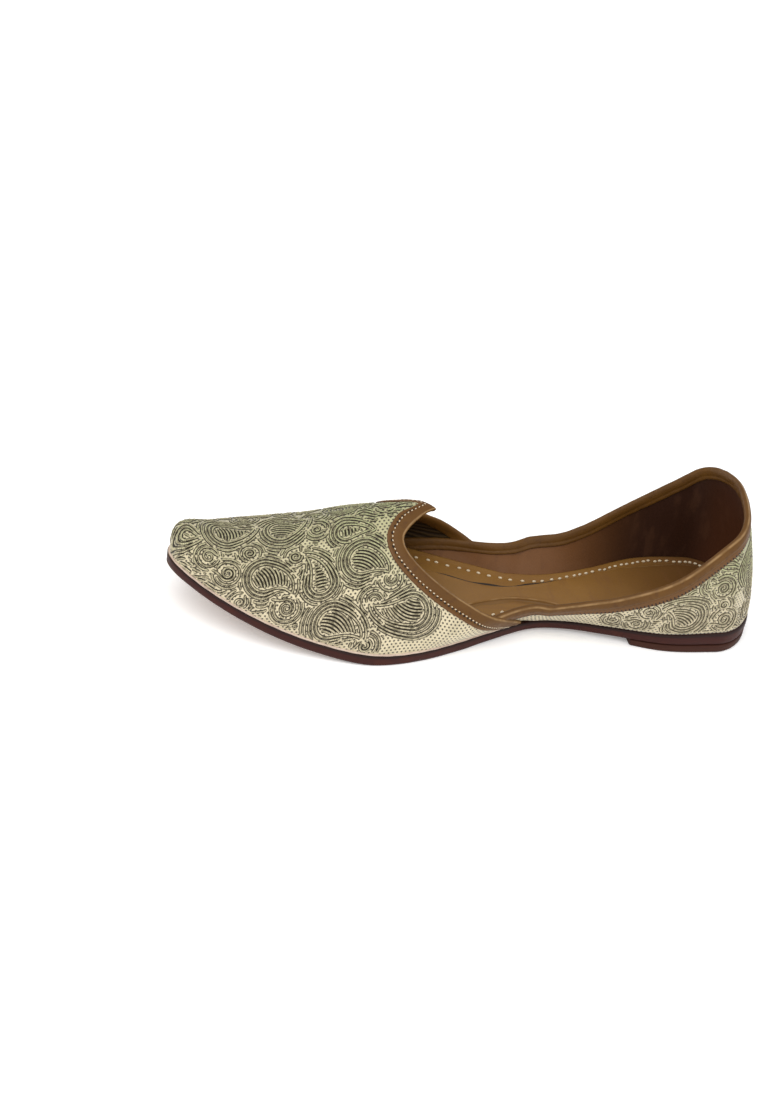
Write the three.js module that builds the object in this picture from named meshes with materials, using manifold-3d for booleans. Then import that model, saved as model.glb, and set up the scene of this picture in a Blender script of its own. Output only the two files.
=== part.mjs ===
// Mojari: a flat, pointed slip-on shoe on a straight last, so that one shape serves for either foot.
// Millimetres. X runs from the heel to the toe, Y across the foot, Z up; the shoe stands on z = 0.
import * as THREE from 'three';
import { mergeVertices } from 'three/addons/utils/BufferGeometryUtils.js';
import Module from 'manifold-3d';

const wasm = await Module();
wasm.setup();

// Driving dimensions
const LENGTH = 285;
const BALL_WIDTH = 98;
const INSTEP_HEIGHT = 64;
const HEEL_HEIGHT = 64.4;
const GAP = 0.3;                // between pieces that lie against each other

const WALL = 2;                 // cloth, lining leather and paste of the upper
const LAP = 1.4;                // how deep the quarter's face lies under the vamp's, where they are pasted
const SOLE_MARGIN = 1;          // the sole stands proud of the upper all round
const LIFT_FRONT = -78;
const INSOLE_THICKNESS = 2.2;
const SOCK_THICKNESS = 1.2;
const BINDING = { leather: 1, outside: 7, inside: 5, fold: 1.45 };

const HEEL_END = -LENGTH / 2;
const TOE_END = LENGTH / 2;

// The last, from the heel (at 0) to the toe (at 1). half: half width at the sole's edge over half the ball
// width; feather: height of the sole's top; sole: thickness of the outsole.
const LAST = [
  { at: 0.00, half: 0.606, feather: 11.1, sole: 6.6 },
  { at: 0.08, half: 0.643, feather: 11.0, sole: 6.5 },
  { at: 0.17, half: 0.647, feather: 9.4, sole: 5.4 },
  { at: 0.27, half: 0.477, feather: 7.2, sole: 4.4 },
  { at: 0.33, half: 0.388, feather: 6.4, sole: 4.1 },
  { at: 0.38, half: 0.369, feather: 6.0, sole: 4.2 },
  { at: 0.48, half: 0.590, feather: 5.5, sole: 4.8 },
  { at: 0.54, half: 0.759, feather: 5.1, sole: 5.4 },
  { at: 0.59, half: 0.885, feather: 5.0, sole: 5.4 },
  { at: 0.67, half: 0.995, feather: 5.4, sole: 5.6 },
  { at: 0.78, half: 0.889, feather: 8.8, sole: 5.2 },
  { at: 0.89, half: 0.679, feather: 16.2, sole: 5.0 },
  { at: 1.00, half: 0.488, feather: 26.0, sole: 4.8 },
];
const TOE_ROUND = { reach: 48.5, along: 2.23, across: 1.99 };
const HEEL_ROUND = { reach: 23.5, along: 2.07, across: 1.84 };
const NOSE_ROUND = { reach: 10, power: 3.24 };

// The quarter, the low wall round the heel and waist. top: height of its edge above the sole over the heel
// height; bulge: how far it swells out by 30 mm up; lean: how strongly it draws in towards its edge.
const QUARTER = [
  { at: 0.00, top: 1.000, bulge: 0.0, lean: 6.0 },
  { at: 0.06, top: 0.860, bulge: 0.4, lean: 0.9 },
  { at: 0.12, top: 0.689, bulge: 2.1, lean: 0.0 },
  { at: 0.20, top: 0.461, bulge: 6.7, lean: 0.0 },
  { at: 0.29, top: 0.295, bulge: 11.1, lean: 0.0 },
  { at: 0.38, top: 0.236, bulge: 15.6, lean: 0.0 },
  { at: 0.46, top: 0.175, bulge: 7.8, lean: 0.0 },
  { at: 0.57, top: 0.092, bulge: 2.0, lean: 0.0 },
  { at: 0.65, top: 0.035, bulge: 3.0, lean: 0.0 },
];
const SWELL_HEIGHT = 30;
const HEEL_RAKE = { forward: 10.2, power: 1.34, reach: 70 };    // the heel's back leans over the foot

// The vamp over the forefoot. crest: height of its ridge above the sole over the instep height; swell: how
// far its side stands out beyond the sole's edge; square: power of its superellipse section.
const VAMP = [
  { at: 0.36, crest: 0.988, swell: 6.1, square: 2.19 },
  { at: 0.45, crest: 0.924, swell: 7.6, square: 2.18 },
  { at: 0.53, crest: 0.734, swell: 7.2, square: 1.75 },
  { at: 0.61, crest: 0.809, swell: 2.8, square: 1.38 },
  { at: 0.71, crest: 0.690, swell: 1.8, square: 1.42 },
  { at: 0.82, crest: 0.467, swell: 2.2, square: 1.60 },
  { at: 0.90, crest: 0.317, swell: 2.6, square: 1.80 },
  { at: 1.00, crest: 0.251, swell: 1.3, square: 1.94 },
];
const TUCK_HEIGHT = 14;         // over this height the vamp's foot draws in to the sole

// The throat, the vamp's edge, from its peak on the ridge to the corner where it meets the sole at the
// waist. turn: angle up round the section, 90 on the ridge and 0 at the sole.
const THROAT = [
  { step: 0, at: 0.578, turn: 90 },
  { step: 1, at: 0.627, turn: 76.7 },
  { step: 2, at: 0.637, turn: 66.6 },
  { step: 3, at: 0.614, turn: 53.0 },
  { step: 4, at: 0.569, turn: 38.5 },
  { step: 5, at: 0.515, turn: 25.9 },
  { step: 6, at: 0.464, turn: 14.9 },
  { step: 7, at: 0.438, turn: 8.0 },
  { step: 8, at: 0.416, turn: 0 },
];
// The sock, a padded hourglass on the insole. half: half width in mm.
const SOCK = [
  { at: 0.02, half: 18 },
  { at: 0.11, half: 22.5 },
  { at: 0.22, half: 19.5 },
  { at: 0.31, half: 13 },
  { at: 0.38, half: 6.6 },
  { at: 0.43, half: 5 },
  { at: 0.47, half: 7.4 },
  { at: 0.56, half: 19 },
  { at: 0.65, half: 31 },
  { at: 0.75, half: 32 },
  { at: 0.84, half: 24 },
];
const SOCK_ROUND = 18;

// Cubic interpolation of one named column of a table, between rows that stand at the key column's values
function along(table, column, value, key = 'at') {
  const rows = table.length;
  const x = THREE.MathUtils.clamp(value, table[0][key], table[rows - 1][key]);
  let i = 0;
  while (i < rows - 2 && x > table[i + 1][key]) i += 1;
  const slope = (k) => (table[k + 1][column] - table[k][column]) / (table[k + 1][key] - table[k][key]);
  const tangent = (k) => {
    if (k === 0) return slope(0);
    if (k === rows - 1) return slope(rows - 2);
    const before = table[k][key] - table[k - 1][key];
    const after = table[k + 1][key] - table[k][key];
    return (slope(k - 1) * after + slope(k) * before) / (before + after);
  };
  const step = table[i + 1][key] - table[i][key];
  const t = (x - table[i][key]) / step;
  const [t2, t3] = [t * t, t * t * t];
  return (2 * t3 - 3 * t2 + 1) * table[i][column] + (t3 - 2 * t2 + t) * step * tangent(i)
    + (3 * t2 - 2 * t3) * table[i + 1][column] + (t3 - t2) * step * tangent(i + 1);
}

const share = (x) => (x - HEEL_END) / LENGTH;
const place = (at) => HEEL_END + at * LENGTH;
const smooth = (low, high, x) => THREE.MathUtils.smoothstep(x, low, high);
const onto = (x, reach, end) => THREE.MathUtils.clamp((reach - Math.abs(end - x)) / reach, 0, 1);

// Roundness of the plan at its two ends, 1 along the middle and 0 at the very heel and toe
function rounding(x) {
  const toe = 1 - onto(x, TOE_ROUND.reach, TOE_END) ** TOE_ROUND.along;
  const heel = 1 - onto(x, HEEL_ROUND.reach, HEEL_END) ** HEEL_ROUND.along;
  return Math.max(toe, 0) ** (1 / TOE_ROUND.across) * Math.max(heel, 0) ** (1 / HEEL_ROUND.across);
}

const halfWidth = (x) => along(LAST, 'half', share(x)) * BALL_WIDTH / 2 * rounding(x);
const feather = (x) => along(LAST, 'feather', share(x));
const underside = (x) => Math.max(0, feather(x) - along(LAST, 'sole', share(x)));

// The footline is the sole's edge in plan, measured as a length from the back of the heel: positive along
// the left side and negative along the right.
const FOOTLINE_STEPS = 1200;
const footline = [];
for (let k = 0, length = 0; k <= FOOTLINE_STEPS; k += 1) {
  const x = -LENGTH / 2 * Math.cos(Math.PI * k / FOOTLINE_STEPS);
  const y = halfWidth(x);
  if (k > 0) length += Math.hypot(x - footline[k - 1].x, y - footline[k - 1].y);
  footline.push({ length, x, y });
}
const FOOTLINE_LENGTH = footline[FOOTLINE_STEPS].length;

function between(key, value) {
  let low = 0;
  let high = FOOTLINE_STEPS;
  while (high - low > 1) {
    const middle = (low + high) >> 1;
    if (footline[middle][key] > value) high = middle; else low = middle;
  }
  const [a, b] = [footline[low], footline[high]];
  return { a, b, t: (value - a[key]) / (b[key] - a[key]) };
}

function lengthTo(x) {
  const { a, b, t } = between('x', x);
  return a.length + (b.length - a.length) * t;
}

function footPoint(length) {
  const { a, b, t } = between('length', Math.min(Math.abs(length), FOOTLINE_LENGTH));
  return { x: a.x + (b.x - a.x) * t, y: (a.y + (b.y - a.y) * t) * Math.sign(length) };
}

// A point of the footline with its outward direction in plan
function footEdge(length) {
  const reach = 1.5;
  const point = footPoint(length);
  const left = footPoint(Math.min(length + reach, FOOTLINE_LENGTH));
  const right = footPoint(Math.max(length - reach, -FOOTLINE_LENGTH));
  const size = Math.hypot(left.x - right.x, left.y - right.y);
  const atToe = FOOTLINE_LENGTH - Math.abs(length) < 1e-6;
  if (atToe) return { x: TOE_END, y: 0, nx: 1, ny: 0 };
  return { ...point, nx: (right.y - left.y) / size, ny: (left.x - right.x) / size };
}

// The quarter alone: a point at a length along the footline and a height above the sole
function leaning(length, height) {
  const edge = footEdge(length);
  const at = share(edge.x);
  const swell = along(QUARTER, 'bulge', at) * (1 - (1 - Math.min(height / SWELL_HEIGHT, 1)) ** 2);
  const out = swell - along(QUARTER, 'lean', at) * Math.max(height - 10, 0) ** 1.5 / 300;
  const rake = HEEL_RAKE.forward * (Math.max(height, 0) / HEEL_HEIGHT) ** HEEL_RAKE.power
    * (1 - smooth(HEEL_END, HEEL_END + HEEL_RAKE.reach, edge.x));
  return new THREE.Vector3(edge.x + edge.nx * out + rake, edge.y + edge.ny * out, feather(edge.x) + height);
}

// The vamp's section at x: half width, crest height, power, and the tuck that draws its foot in to the sole
function section(x) {
  const at = share(x);
  const tuck = along(VAMP, 'swell', at) * rounding(x);
  const nose = onto(x, NOSE_ROUND.reach, TOE_END) ** NOSE_ROUND.power;
  const crest = along(VAMP, 'crest', at) * INSTEP_HEIGHT * Math.max(0, 1 - nose) ** (1 / NOSE_ROUND.power);
  return { wide: halfWidth(x) + tuck, crest, power: along(VAMP, 'square', at), tuck };
}

const tuckedIn = (s, y, height) =>
  y * (1 - s.tuck * Math.max(0, 1 - height / TUCK_HEIGHT) ** 2 / Math.max(s.wide, 1e-3));

// Behind BLEND.from the upper is all quarter form and before BLEND.to all vamp form
const BLEND = { from: -35, to: 5 };

function quarterFace(length, height) {
  const { x } = footPoint(length);
  const vampShare = smooth(BLEND.from, BLEND.to, x);
  if (vampShare === 0) return leaning(length, height);
  const s = section(x);
  const rise = THREE.MathUtils.clamp(height / s.crest, 0, 1);
  const y = tuckedIn(s, s.wide * (1 - rise ** s.power) ** (1 / s.power), height) * Math.sign(length);
  return leaning(length, height).lerp(new THREE.Vector3(x, y, feather(x) + height), vampShare);
}

// The vamp's face: a point at a place along the shoe and an angle up round the section, in degrees
function vampFace(x, turn) {
  if (x >= TOE_END) return new THREE.Vector3(TOE_END, 0, feather(TOE_END));
  const s = section(x);
  const angle = THREE.MathUtils.degToRad(turn);
  const across = Math.abs(Math.cos(angle)) / s.wide;
  const up = Math.abs(Math.sin(angle)) / s.crest;
  const radius = (across ** s.power + up ** s.power) ** (-1 / s.power);
  const height = radius * Math.sin(angle);
  const point = new THREE.Vector3(x, tuckedIn(s, radius * Math.cos(angle), height), feather(x) + height);
  if (x >= BLEND.to) return point;
  const side = turn > 90 ? -1 : 1;
  return leaning(lengthTo(x) * side, height).lerp(point, smooth(BLEND.from, BLEND.to, x));
}

// A face's outward normal; at the sole it lies level, so that a wall's foot is flat on the sole
const LEVEL_HEIGHT = 6;
function outward(face, u, v) {
  const step = 0.25;
  const alongU = face(u + step, v).sub(face(u - step, v));
  const alongV = face(u, v + step).sub(face(u, v - step));
  const normal = alongV.cross(alongU);
  if (normal.lengthSq() < 1e-9) return new THREE.Vector3(1, 0, 0);
  const point = face(u, v);
  normal.normalize();
  normal.z *= THREE.MathUtils.clamp((point.z - feather(point.x)) / LEVEL_HEIGHT, 0, 1);
  return normal.normalize();
}

// Walks over a face from (u, v) in a heading, keeping to the surface; gives the place reached
function walk(face, u, v, heading, distance) {
  const steps = Math.max(1, Math.ceil(Math.abs(distance) / 1.5));
  const step = 0.25;
  const way = heading.clone();
  for (let k = 0; k < steps; k += 1) {
    const alongU = face(u + step, v).sub(face(u - step, v)).divideScalar(2 * step);
    const alongV = face(u, v + step).sub(face(u, v - step)).divideScalar(2 * step);
    const normal = alongV.clone().cross(alongU).normalize();
    way.addScaledVector(normal, -way.dot(normal)).normalize();
    const [uu, uv, vv] = [alongU.dot(alongU), alongU.dot(alongV), alongV.dot(alongV)];
    const [wu, wv] = [alongU.dot(way), alongV.dot(way)];
    const spread = uu * vv - uv * uv;
    u += (vv * wu - uv * wv) / spread * distance / steps;
    v += (uu * wv - uv * wu) / spread * distance / steps;
  }
  return [u, v];
}

// A closed geometry from triangles of points: shared corners are merged, and triangles that have no area or
// lie back to back are dropped
function closed(triangles) {
  const soup = new THREE.BufferGeometry();
  const corners = triangles.flat().flatMap((p) => [p.x, p.y, p.z]);
  soup.setAttribute('position', new THREE.Float32BufferAttribute(corners, 3));
  const geometry = mergeVertices(soup, 1e-3);
  const kept = new Map();
  const { array } = geometry.index;
  for (let k = 0; k < array.length; k += 3) {
    const corner = [array[k], array[k + 1], array[k + 2]];
    if (new Set(corner).size < 3) continue;
    const key = [...corner].sort((a, b) => a - b).join();
    if (kept.has(key)) kept.delete(key); else kept.set(key, corner);
  }
  geometry.setIndex([...kept.values()].flat());
  return geometry;
}

// A wall between a grid of points on its outside and the matching grid on its inside. Rows run along the
// shoe or its edge, and the columns run across them so that column x row points outward.
function wall(outer, inner) {
  const triangles = [];
  const quad = (a, b, c, d) => {
    if (a.distanceTo(c) <= b.distanceTo(d)) triangles.push([a, b, c], [a, c, d]);
    else triangles.push([a, b, d], [b, c, d]);
  };
  const [rows, columns] = [outer.length - 1, outer[0].length - 1];
  for (let i = 0; i < rows; i += 1) {
    for (let j = 0; j < columns; j += 1) {
      quad(outer[i][j], outer[i][j + 1], outer[i + 1][j + 1], outer[i + 1][j]);
      quad(inner[i + 1][j], inner[i + 1][j + 1], inner[i][j + 1], inner[i][j]);
    }
  }
  const border = [];
  for (let j = 0; j < columns; j += 1) border.push([0, j]);
  for (let i = 0; i < rows; i += 1) border.push([i, columns]);
  for (let j = columns; j > 0; j -= 1) border.push([rows, j]);
  for (let i = rows; i > 0; i -= 1) border.push([i, 0]);
  border.forEach(([i, j], k) => {
    const [p, q] = border[(k + 1) % border.length];
    quad(outer[p][q], outer[i][j], inner[i][j], inner[p][q]);
  });
  return closed(triangles);
}

function manifold(geometry) {
  return new wasm.Manifold(new wasm.Mesh({
    numProp: 3,
    vertProperties: Float32Array.from(geometry.getAttribute('position').array),
    triVerts: Uint32Array.from(geometry.index.array),
  }));
}

// The largest body of a solid as a geometry
function geometryOf(solid) {
  const body = solid.decompose().sort((a, b) => b.volume() - a.volume())[0];
  const mesh = body.getMesh();
  const geometry = new THREE.BufferGeometry();
  geometry.setAttribute('position', new THREE.Float32BufferAttribute([...mesh.vertProperties], 3));
  geometry.setIndex([...mesh.triVerts]);
  return geometry;
}

const steps = (count) => Array.from({ length: count + 1 }, (_, k) => k / count);
const mirrorImage = (p) => new THREE.Vector3(p.x, -p.y, p.z);
const onRidge = (p) => new THREE.Vector3(p.x, 0, p.z);

// Rows of the left side, ending on the middle plane, and their mirror images in one grid
function bothSides(rows) {
  const middle = rows[rows.length - 1].map(onRidge);
  const left = rows.slice(0, -1);
  return [...left, middle, ...left.toReversed().map((row) => row.map(mirrorImage))];
}

// Upper ------------------------------------------------------------------------------------------------

const throatAt = (step) => place(along(THROAT, 'at', step, 'step'));
const throatTurn = (step) => along(THROAT, 'turn', step, 'step');
const THROAT_STEPS = [0, 0.3, 0.6, 1, 1.4, 1.8, 2.3, 2.9, 3.5, 4.1, 4.7, 5.3, 5.9, 6.5, 7, 7.5, 8];
const VAMP_ROWS = 18;

// The vamp's wall, grown by a margin on every side but its foot
function vampWall(margin) {
  const column = (step, depth) => steps(VAMP_ROWS).map((t) => {
    const start = throatAt(step) - margin;
    const x = start + (TOE_END - start) * (1 - Math.cos(t * Math.PI)) / 2;
    const turn = throatTurn(step);
    const out = x > TOE_END - 0.01 ? new THREE.Vector3(1, 0, 0) : outward(vampFace, x, turn);
    const point = vampFace(x, turn).addScaledVector(out, -depth);
    point.z += GAP - (turn === 0 ? margin : 0);
    return point;
  });
  const grid = (depth) => {
    const columns = bothSides(THROAT_STEPS.toReversed().map((step) => column(step, depth)));
    return columns[0].map((_, i) => columns.map((c) => c[i]));
  };
  return wall(grid(-margin), grid(WALL + margin));
}

const QUARTER_FRONT = 38;
const QUARTER_COLUMNS = 30;
const QUARTER_ROWS = 6;
const under = (x) => smooth(-32, -24, x);    // 1 where the vamp lies over the quarter
const topEdge = (x) => along(QUARTER, 'top', share(x)) * HEEL_HEIGHT;

const quarterLengths = steps(QUARTER_COLUMNS).map((t) => lengthTo(QUARTER_FRONT) * (1 - t));

// A point in the quarter's wall, at a depth behind its own face
function quarterPoint(length, height, depth) {
  const laid = LAP * under(footPoint(length).x) + depth;
  const out = outward(quarterFace, length, height);
  return quarterFace(length, height).addScaledVector(out, -laid);
}

// The quarter's wall, grown by a margin
function quarterWall(margin) {
  const column = (length, depth) => steps(QUARTER_ROWS).map((t) => {
    const { x } = footPoint(length);
    const foot = GAP + 0.5 * under(x) - margin;
    const point = quarterPoint(length, t * (topEdge(x) + margin), depth);
    point.z += foot * (1 - t);
    return point;
  });
  const lengths = quarterLengths.map((length, k) => length + (k === 0 ? margin : 0));
  const grid = (depth) => bothSides(lengths.map((length) => column(length, depth)));
  return wall(grid(WALL + margin), grid(-margin));
}

const upper = manifold(vampWall(0)).add(manifold(quarterWall(0)));

// Sole, heel lift, insole and sock: slabs laid out from the footline ---------------------------------------

// A slab between two heights over an outline of left-side points; edge shapes its side
function slab(outline, top, bottom, rounded = 0) {
  const row = (p, level, inset) => {
    const y = Math.max(p.y - inset, 0);
    const x = p.x + inset * Math.sign(-p.x) * (p.y < 1e-6 ? 1 : 0);
    return [y, 0, -y].map((side) => new THREE.Vector3(x, side, level(p.along ?? p.x)));
  };
  const middle = (p) => (top(p.along ?? p.x) + bottom(p.along ?? p.x)) / 2;
  const grid = (level) => outline.map((p) => {
    const rim = new THREE.Vector3(p.x, p.y, middle(p));
    return rounded ? [rim, ...row(p, level, rounded), mirrorImage(rim)] : row(p, level, 0);
  });
  return wall(grid(top), grid(bottom));
}

const SOLE_COLUMNS = 48;
function footOutline(from, to, margin) {
  const [start, end] = [lengthTo(from), lengthTo(to)];
  return steps(SOLE_COLUMNS).map((t) => {
    const edge = footEdge(start + (end - start) * t);
    const set = typeof margin === 'function' ? margin(edge.x) : margin;
    const y = edge.y + edge.ny * set;
    return { x: edge.x + edge.nx * set, y: t === 0 && from === HEEL_END ? 0 : Math.max(y, 0), along: edge.x };
  });
}

const outsole = slab(footOutline(HEEL_END, TOE_END, SOLE_MARGIN), feather, underside, 0.6);
const liftTop = (x) => underside(x) - GAP;
const heelLift = slab(footOutline(HEEL_END, LIFT_FRONT, SOLE_MARGIN), liftTop, () => 0, 0.5);

const insoleInset = (x) => -(WALL + GAP + 0.2 + LAP * under(x) * (1 - smooth(QUARTER_FRONT, QUARTER_FRONT + 4, x)));
const insoleFoot = (x) => feather(x) + GAP;
const insole = slab(footOutline(HEEL_END, TOE_END, insoleInset), (x) => insoleFoot(x) + INSOLE_THICKNESS, insoleFoot);

const [SOCK_BACK, SOCK_TIP] = [place(SOCK[0].at), place(SOCK[SOCK.length - 1].at)];
const sockOutline = steps(40).map((t) => {
  const x = (SOCK_BACK + SOCK_TIP) / 2 - (SOCK_TIP - SOCK_BACK) / 2 * Math.cos(Math.PI * t);
  const round = (1 - onto(x, SOCK_ROUND, SOCK_BACK) ** 2) * (1 - onto(x, SOCK_ROUND, SOCK_TIP) ** 2);
  return { x, y: along(SOCK, 'half', share(x)) * Math.sqrt(Math.max(round, 0)) };
});
const sockFoot = (x) => insoleFoot(x) + INSOLE_THICKNESS + GAP;
const sock = slab(sockOutline, (x) => sockFoot(x) + SOCK_THICKNESS, sockFoot);

// Bindings: strips of thin leather folded over the edges of the throat and the collar ---------------------

// The fold's outer and inner faces, from its outside edge over the fold to its inside edge. in: distance
// from the upper's edge, down its wall; deep: depth behind the upper's face.
const { leather, outside, inside, fold } = BINDING;
const BINDING_OUTER = [
  { in: outside, deep: -fold }, { in: outside / 2, deep: -fold }, { in: 0.4, deep: -fold },
  { in: -0.9, deep: -0.8 }, { in: -fold, deep: WALL / 2 }, { in: -0.9, deep: WALL + 0.8 },
  { in: 0.4, deep: WALL + fold }, { in: inside / 2, deep: WALL + fold }, { in: inside, deep: WALL + fold },
];
const BINDING_INNER = [
  { in: outside, deep: leather - fold }, { in: outside / 2, deep: leather - fold },
  { in: 0.4, deep: leather - fold }, { in: leather - fold, deep: leather - fold },
  { in: leather - fold, deep: WALL / 2 }, { in: leather - fold, deep: WALL + fold - leather },
  { in: 0.4, deep: WALL + fold - leather }, { in: inside / 2, deep: WALL + fold - leather },
  { in: inside, deep: WALL + fold - leather },
];

// One row of a binding: its profile laid square to the edge at (u, v) of a face
function bindingRow(face, u, v, heading, stretch, laid, profile) {
  return profile.map((corner) => {
    const inward = Math.max(corner.in, 0) * stretch;
    const [a, b] = walk(face, u, v, heading, inward);
    const point = face(a, b).addScaledVector(outward(face, a, b), -corner.deep - laid);
    return point.addScaledVector(heading, Math.min(corner.in, 0));
  });
}

function throatRow(step, profile) {
  const here = vampFace(throatAt(step), throatTurn(step));
  const next = Math.max(step - 0.05, 0);
  const ahead = vampFace(throatAt(next), throatTurn(next)).sub(here);
  const out = outward(vampFace, throatAt(step), throatTurn(step));
  const square = out.clone().cross(ahead).normalize();
  const peak = 1 - smooth(0, 1.3, step);
  const heading = square.lerp(new THREE.Vector3(1, 0, 0), peak).normalize();
  return bindingRow(vampFace, throatAt(step), throatTurn(step), heading, 1 + 0.2 * peak, 0, profile);
}

const throatGrid = (profile) => bothSides(THROAT_STEPS.toReversed().map((step) => throatRow(step, profile)))
  .map((row) => row.map((p) => p.add(new THREE.Vector3(0, 0, GAP))));

// All that lies under the sole's top at the back of the shoe, where the throat's ends are trimmed off
const groundOutline = steps(SOLE_COLUMNS).map((t) => ({ x: HEEL_END * (1 - t), y: BALL_WIDTH }));
const ground = manifold(slab(groundOutline, (x) => feather(x) + GAP, () => -BALL_WIDTH));
const throatBinding = manifold(wall(throatGrid(BINDING_OUTER), throatGrid(BINDING_INNER)))
  .subtract(manifold(quarterWall(GAP)))
  .subtract(manifold(vampWall(GAP / 3)))
  .subtract(ground);

const COLLAR_FRONT = -8;

function collarRow(length, profile) {
  const { x } = footPoint(length);
  const reach = 0.5;
  const edgeAt = (l) => quarterFace(l, topEdge(footPoint(l).x));
  const ahead = edgeAt(length + reach).sub(edgeAt(length - reach));
  const heading = outward(quarterFace, length, topEdge(x)).cross(ahead).normalize();
  return bindingRow(quarterFace, length, topEdge(x), heading, 1, LAP * under(x), profile);
}

const collarLengths = quarterLengths.filter((length) => length < lengthTo(COLLAR_FRONT));
const collarGrid = (profile) => bothSides(collarLengths.map((length) => collarRow(length, profile)));
const throatBar = throatGrid([
  { in: outside + GAP, deep: -fold - GAP }, { in: 0, deep: -fold - GAP }, { in: -fold - GAP, deep: -fold - GAP },
]);
const throatCore = throatGrid([
  { in: outside + GAP, deep: WALL }, { in: 0, deep: WALL }, { in: -fold - GAP, deep: WALL },
]);
const collarBinding = manifold(wall(collarGrid(BINDING_INNER), collarGrid(BINDING_OUTER)))
  .subtract(manifold(vampWall(GAP)))
  .subtract(manifold(wall(throatBar, throatCore)));

// The shoe -------------------------------------------------------------------------------------------------

const shoe = new THREE.Group();
function piece(name, geometry, color, roughness, metalness = 0) {
  const mesh = new THREE.Mesh(geometry, new THREE.MeshStandardMaterial({ color, roughness, metalness }));
  mesh.name = name;
  shoe.add(mesh);
}

piece('outsole', outsole, 0x3a1c18, 0.55);
piece('heel_lift', heelLift, 0x4a211b, 0.6);
piece('insole', insole, 0x6b4322, 0.6);
piece('sock', sock, 0x78502a, 0.55);
piece('upper', geometryOf(upper), 0xc4b99a, 0.75, 0.15);
piece('throat_binding', geometryOf(throatBinding), 0x7a5230, 0.55);
piece('collar_binding', geometryOf(collarBinding), 0x7a5230, 0.55);

export default shoe;
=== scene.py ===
import bmesh
import bpy
import numpy as np
from mathutils import Matrix, Vector


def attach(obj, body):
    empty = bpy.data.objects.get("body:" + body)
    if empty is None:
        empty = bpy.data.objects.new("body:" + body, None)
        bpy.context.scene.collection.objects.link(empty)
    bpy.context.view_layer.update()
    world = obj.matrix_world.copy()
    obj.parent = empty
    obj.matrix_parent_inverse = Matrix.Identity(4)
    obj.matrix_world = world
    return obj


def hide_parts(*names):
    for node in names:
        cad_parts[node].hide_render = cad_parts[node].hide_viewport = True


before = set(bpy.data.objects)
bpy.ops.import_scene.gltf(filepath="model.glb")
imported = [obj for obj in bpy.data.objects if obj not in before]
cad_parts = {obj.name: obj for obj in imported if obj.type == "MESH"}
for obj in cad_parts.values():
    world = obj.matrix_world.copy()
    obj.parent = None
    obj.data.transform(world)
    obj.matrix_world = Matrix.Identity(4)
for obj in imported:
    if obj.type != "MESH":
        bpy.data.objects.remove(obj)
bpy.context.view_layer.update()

# Camera, floor and light ----------------------------------------------------------------------
# A white sweep under a wide soft light box, with the shoe seen from its left side and above.
MM = 0.001
scene = bpy.context.scene
scene.view_settings.view_transform = "Standard"

CAMERA_AIM = Vector((39.5, 0.0, 28.9)) * MM
CAMERA_AZIMUTH, CAMERA_ELEVATION, CAMERA_ROLL = np.radians((14.64, 32.14, 10.02))
CAMERA_DISTANCE = 0.85
back = Vector((np.sin(CAMERA_AZIMUTH) * np.cos(CAMERA_ELEVATION),
               np.cos(CAMERA_AZIMUTH) * np.cos(CAMERA_ELEVATION), np.sin(CAMERA_ELEVATION)))
right = (-back).cross(Vector((0, 0, 1))).normalized()
turned = Matrix((right, back.cross(right), back)).transposed() @ Matrix.Rotation(CAMERA_ROLL, 3, "Z")
lens = bpy.data.cameras.new("camera")
lens.lens, lens.sensor_width = 58.83, 36.0
camera = bpy.data.objects.new("camera", lens)
camera.matrix_world = Matrix.Translation(CAMERA_AIM + back * CAMERA_DISTANCE) @ turned.to_4x4()
scene.collection.objects.link(camera)
scene.camera = camera


def light_box(name, place, size, power, colour=(1, 1, 1)):
    """A square soft light that faces the shoe"""
    lamp = bpy.data.lights.new(name, "AREA")
    lamp.size, lamp.energy, lamp.color = size, power, colour
    box = bpy.data.objects.new(name, lamp)
    aim = (CAMERA_AIM - Vector(place)).to_track_quat("-Z", "Y")
    box.matrix_world = Matrix.Translation(place) @ aim.to_matrix().to_4x4()
    scene.collection.objects.link(box)


light_box("key_light", (0.45, 0.55, 1.10), 1.1, 9.4, (1.0, 0.98, 0.95))
light_box("fill_light", (-0.9, 0.7, 0.7), 0.9, 3.5, (0.96, 0.98, 1.0))
world = bpy.data.worlds.new("studio")
world.use_nodes = True
world.node_tree.nodes["Background"].inputs["Color"].default_value = (1.0, 1.0, 1.0, 1.0)
world.node_tree.nodes["Background"].inputs["Strength"].default_value = 0.80
scene.world = world


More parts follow.
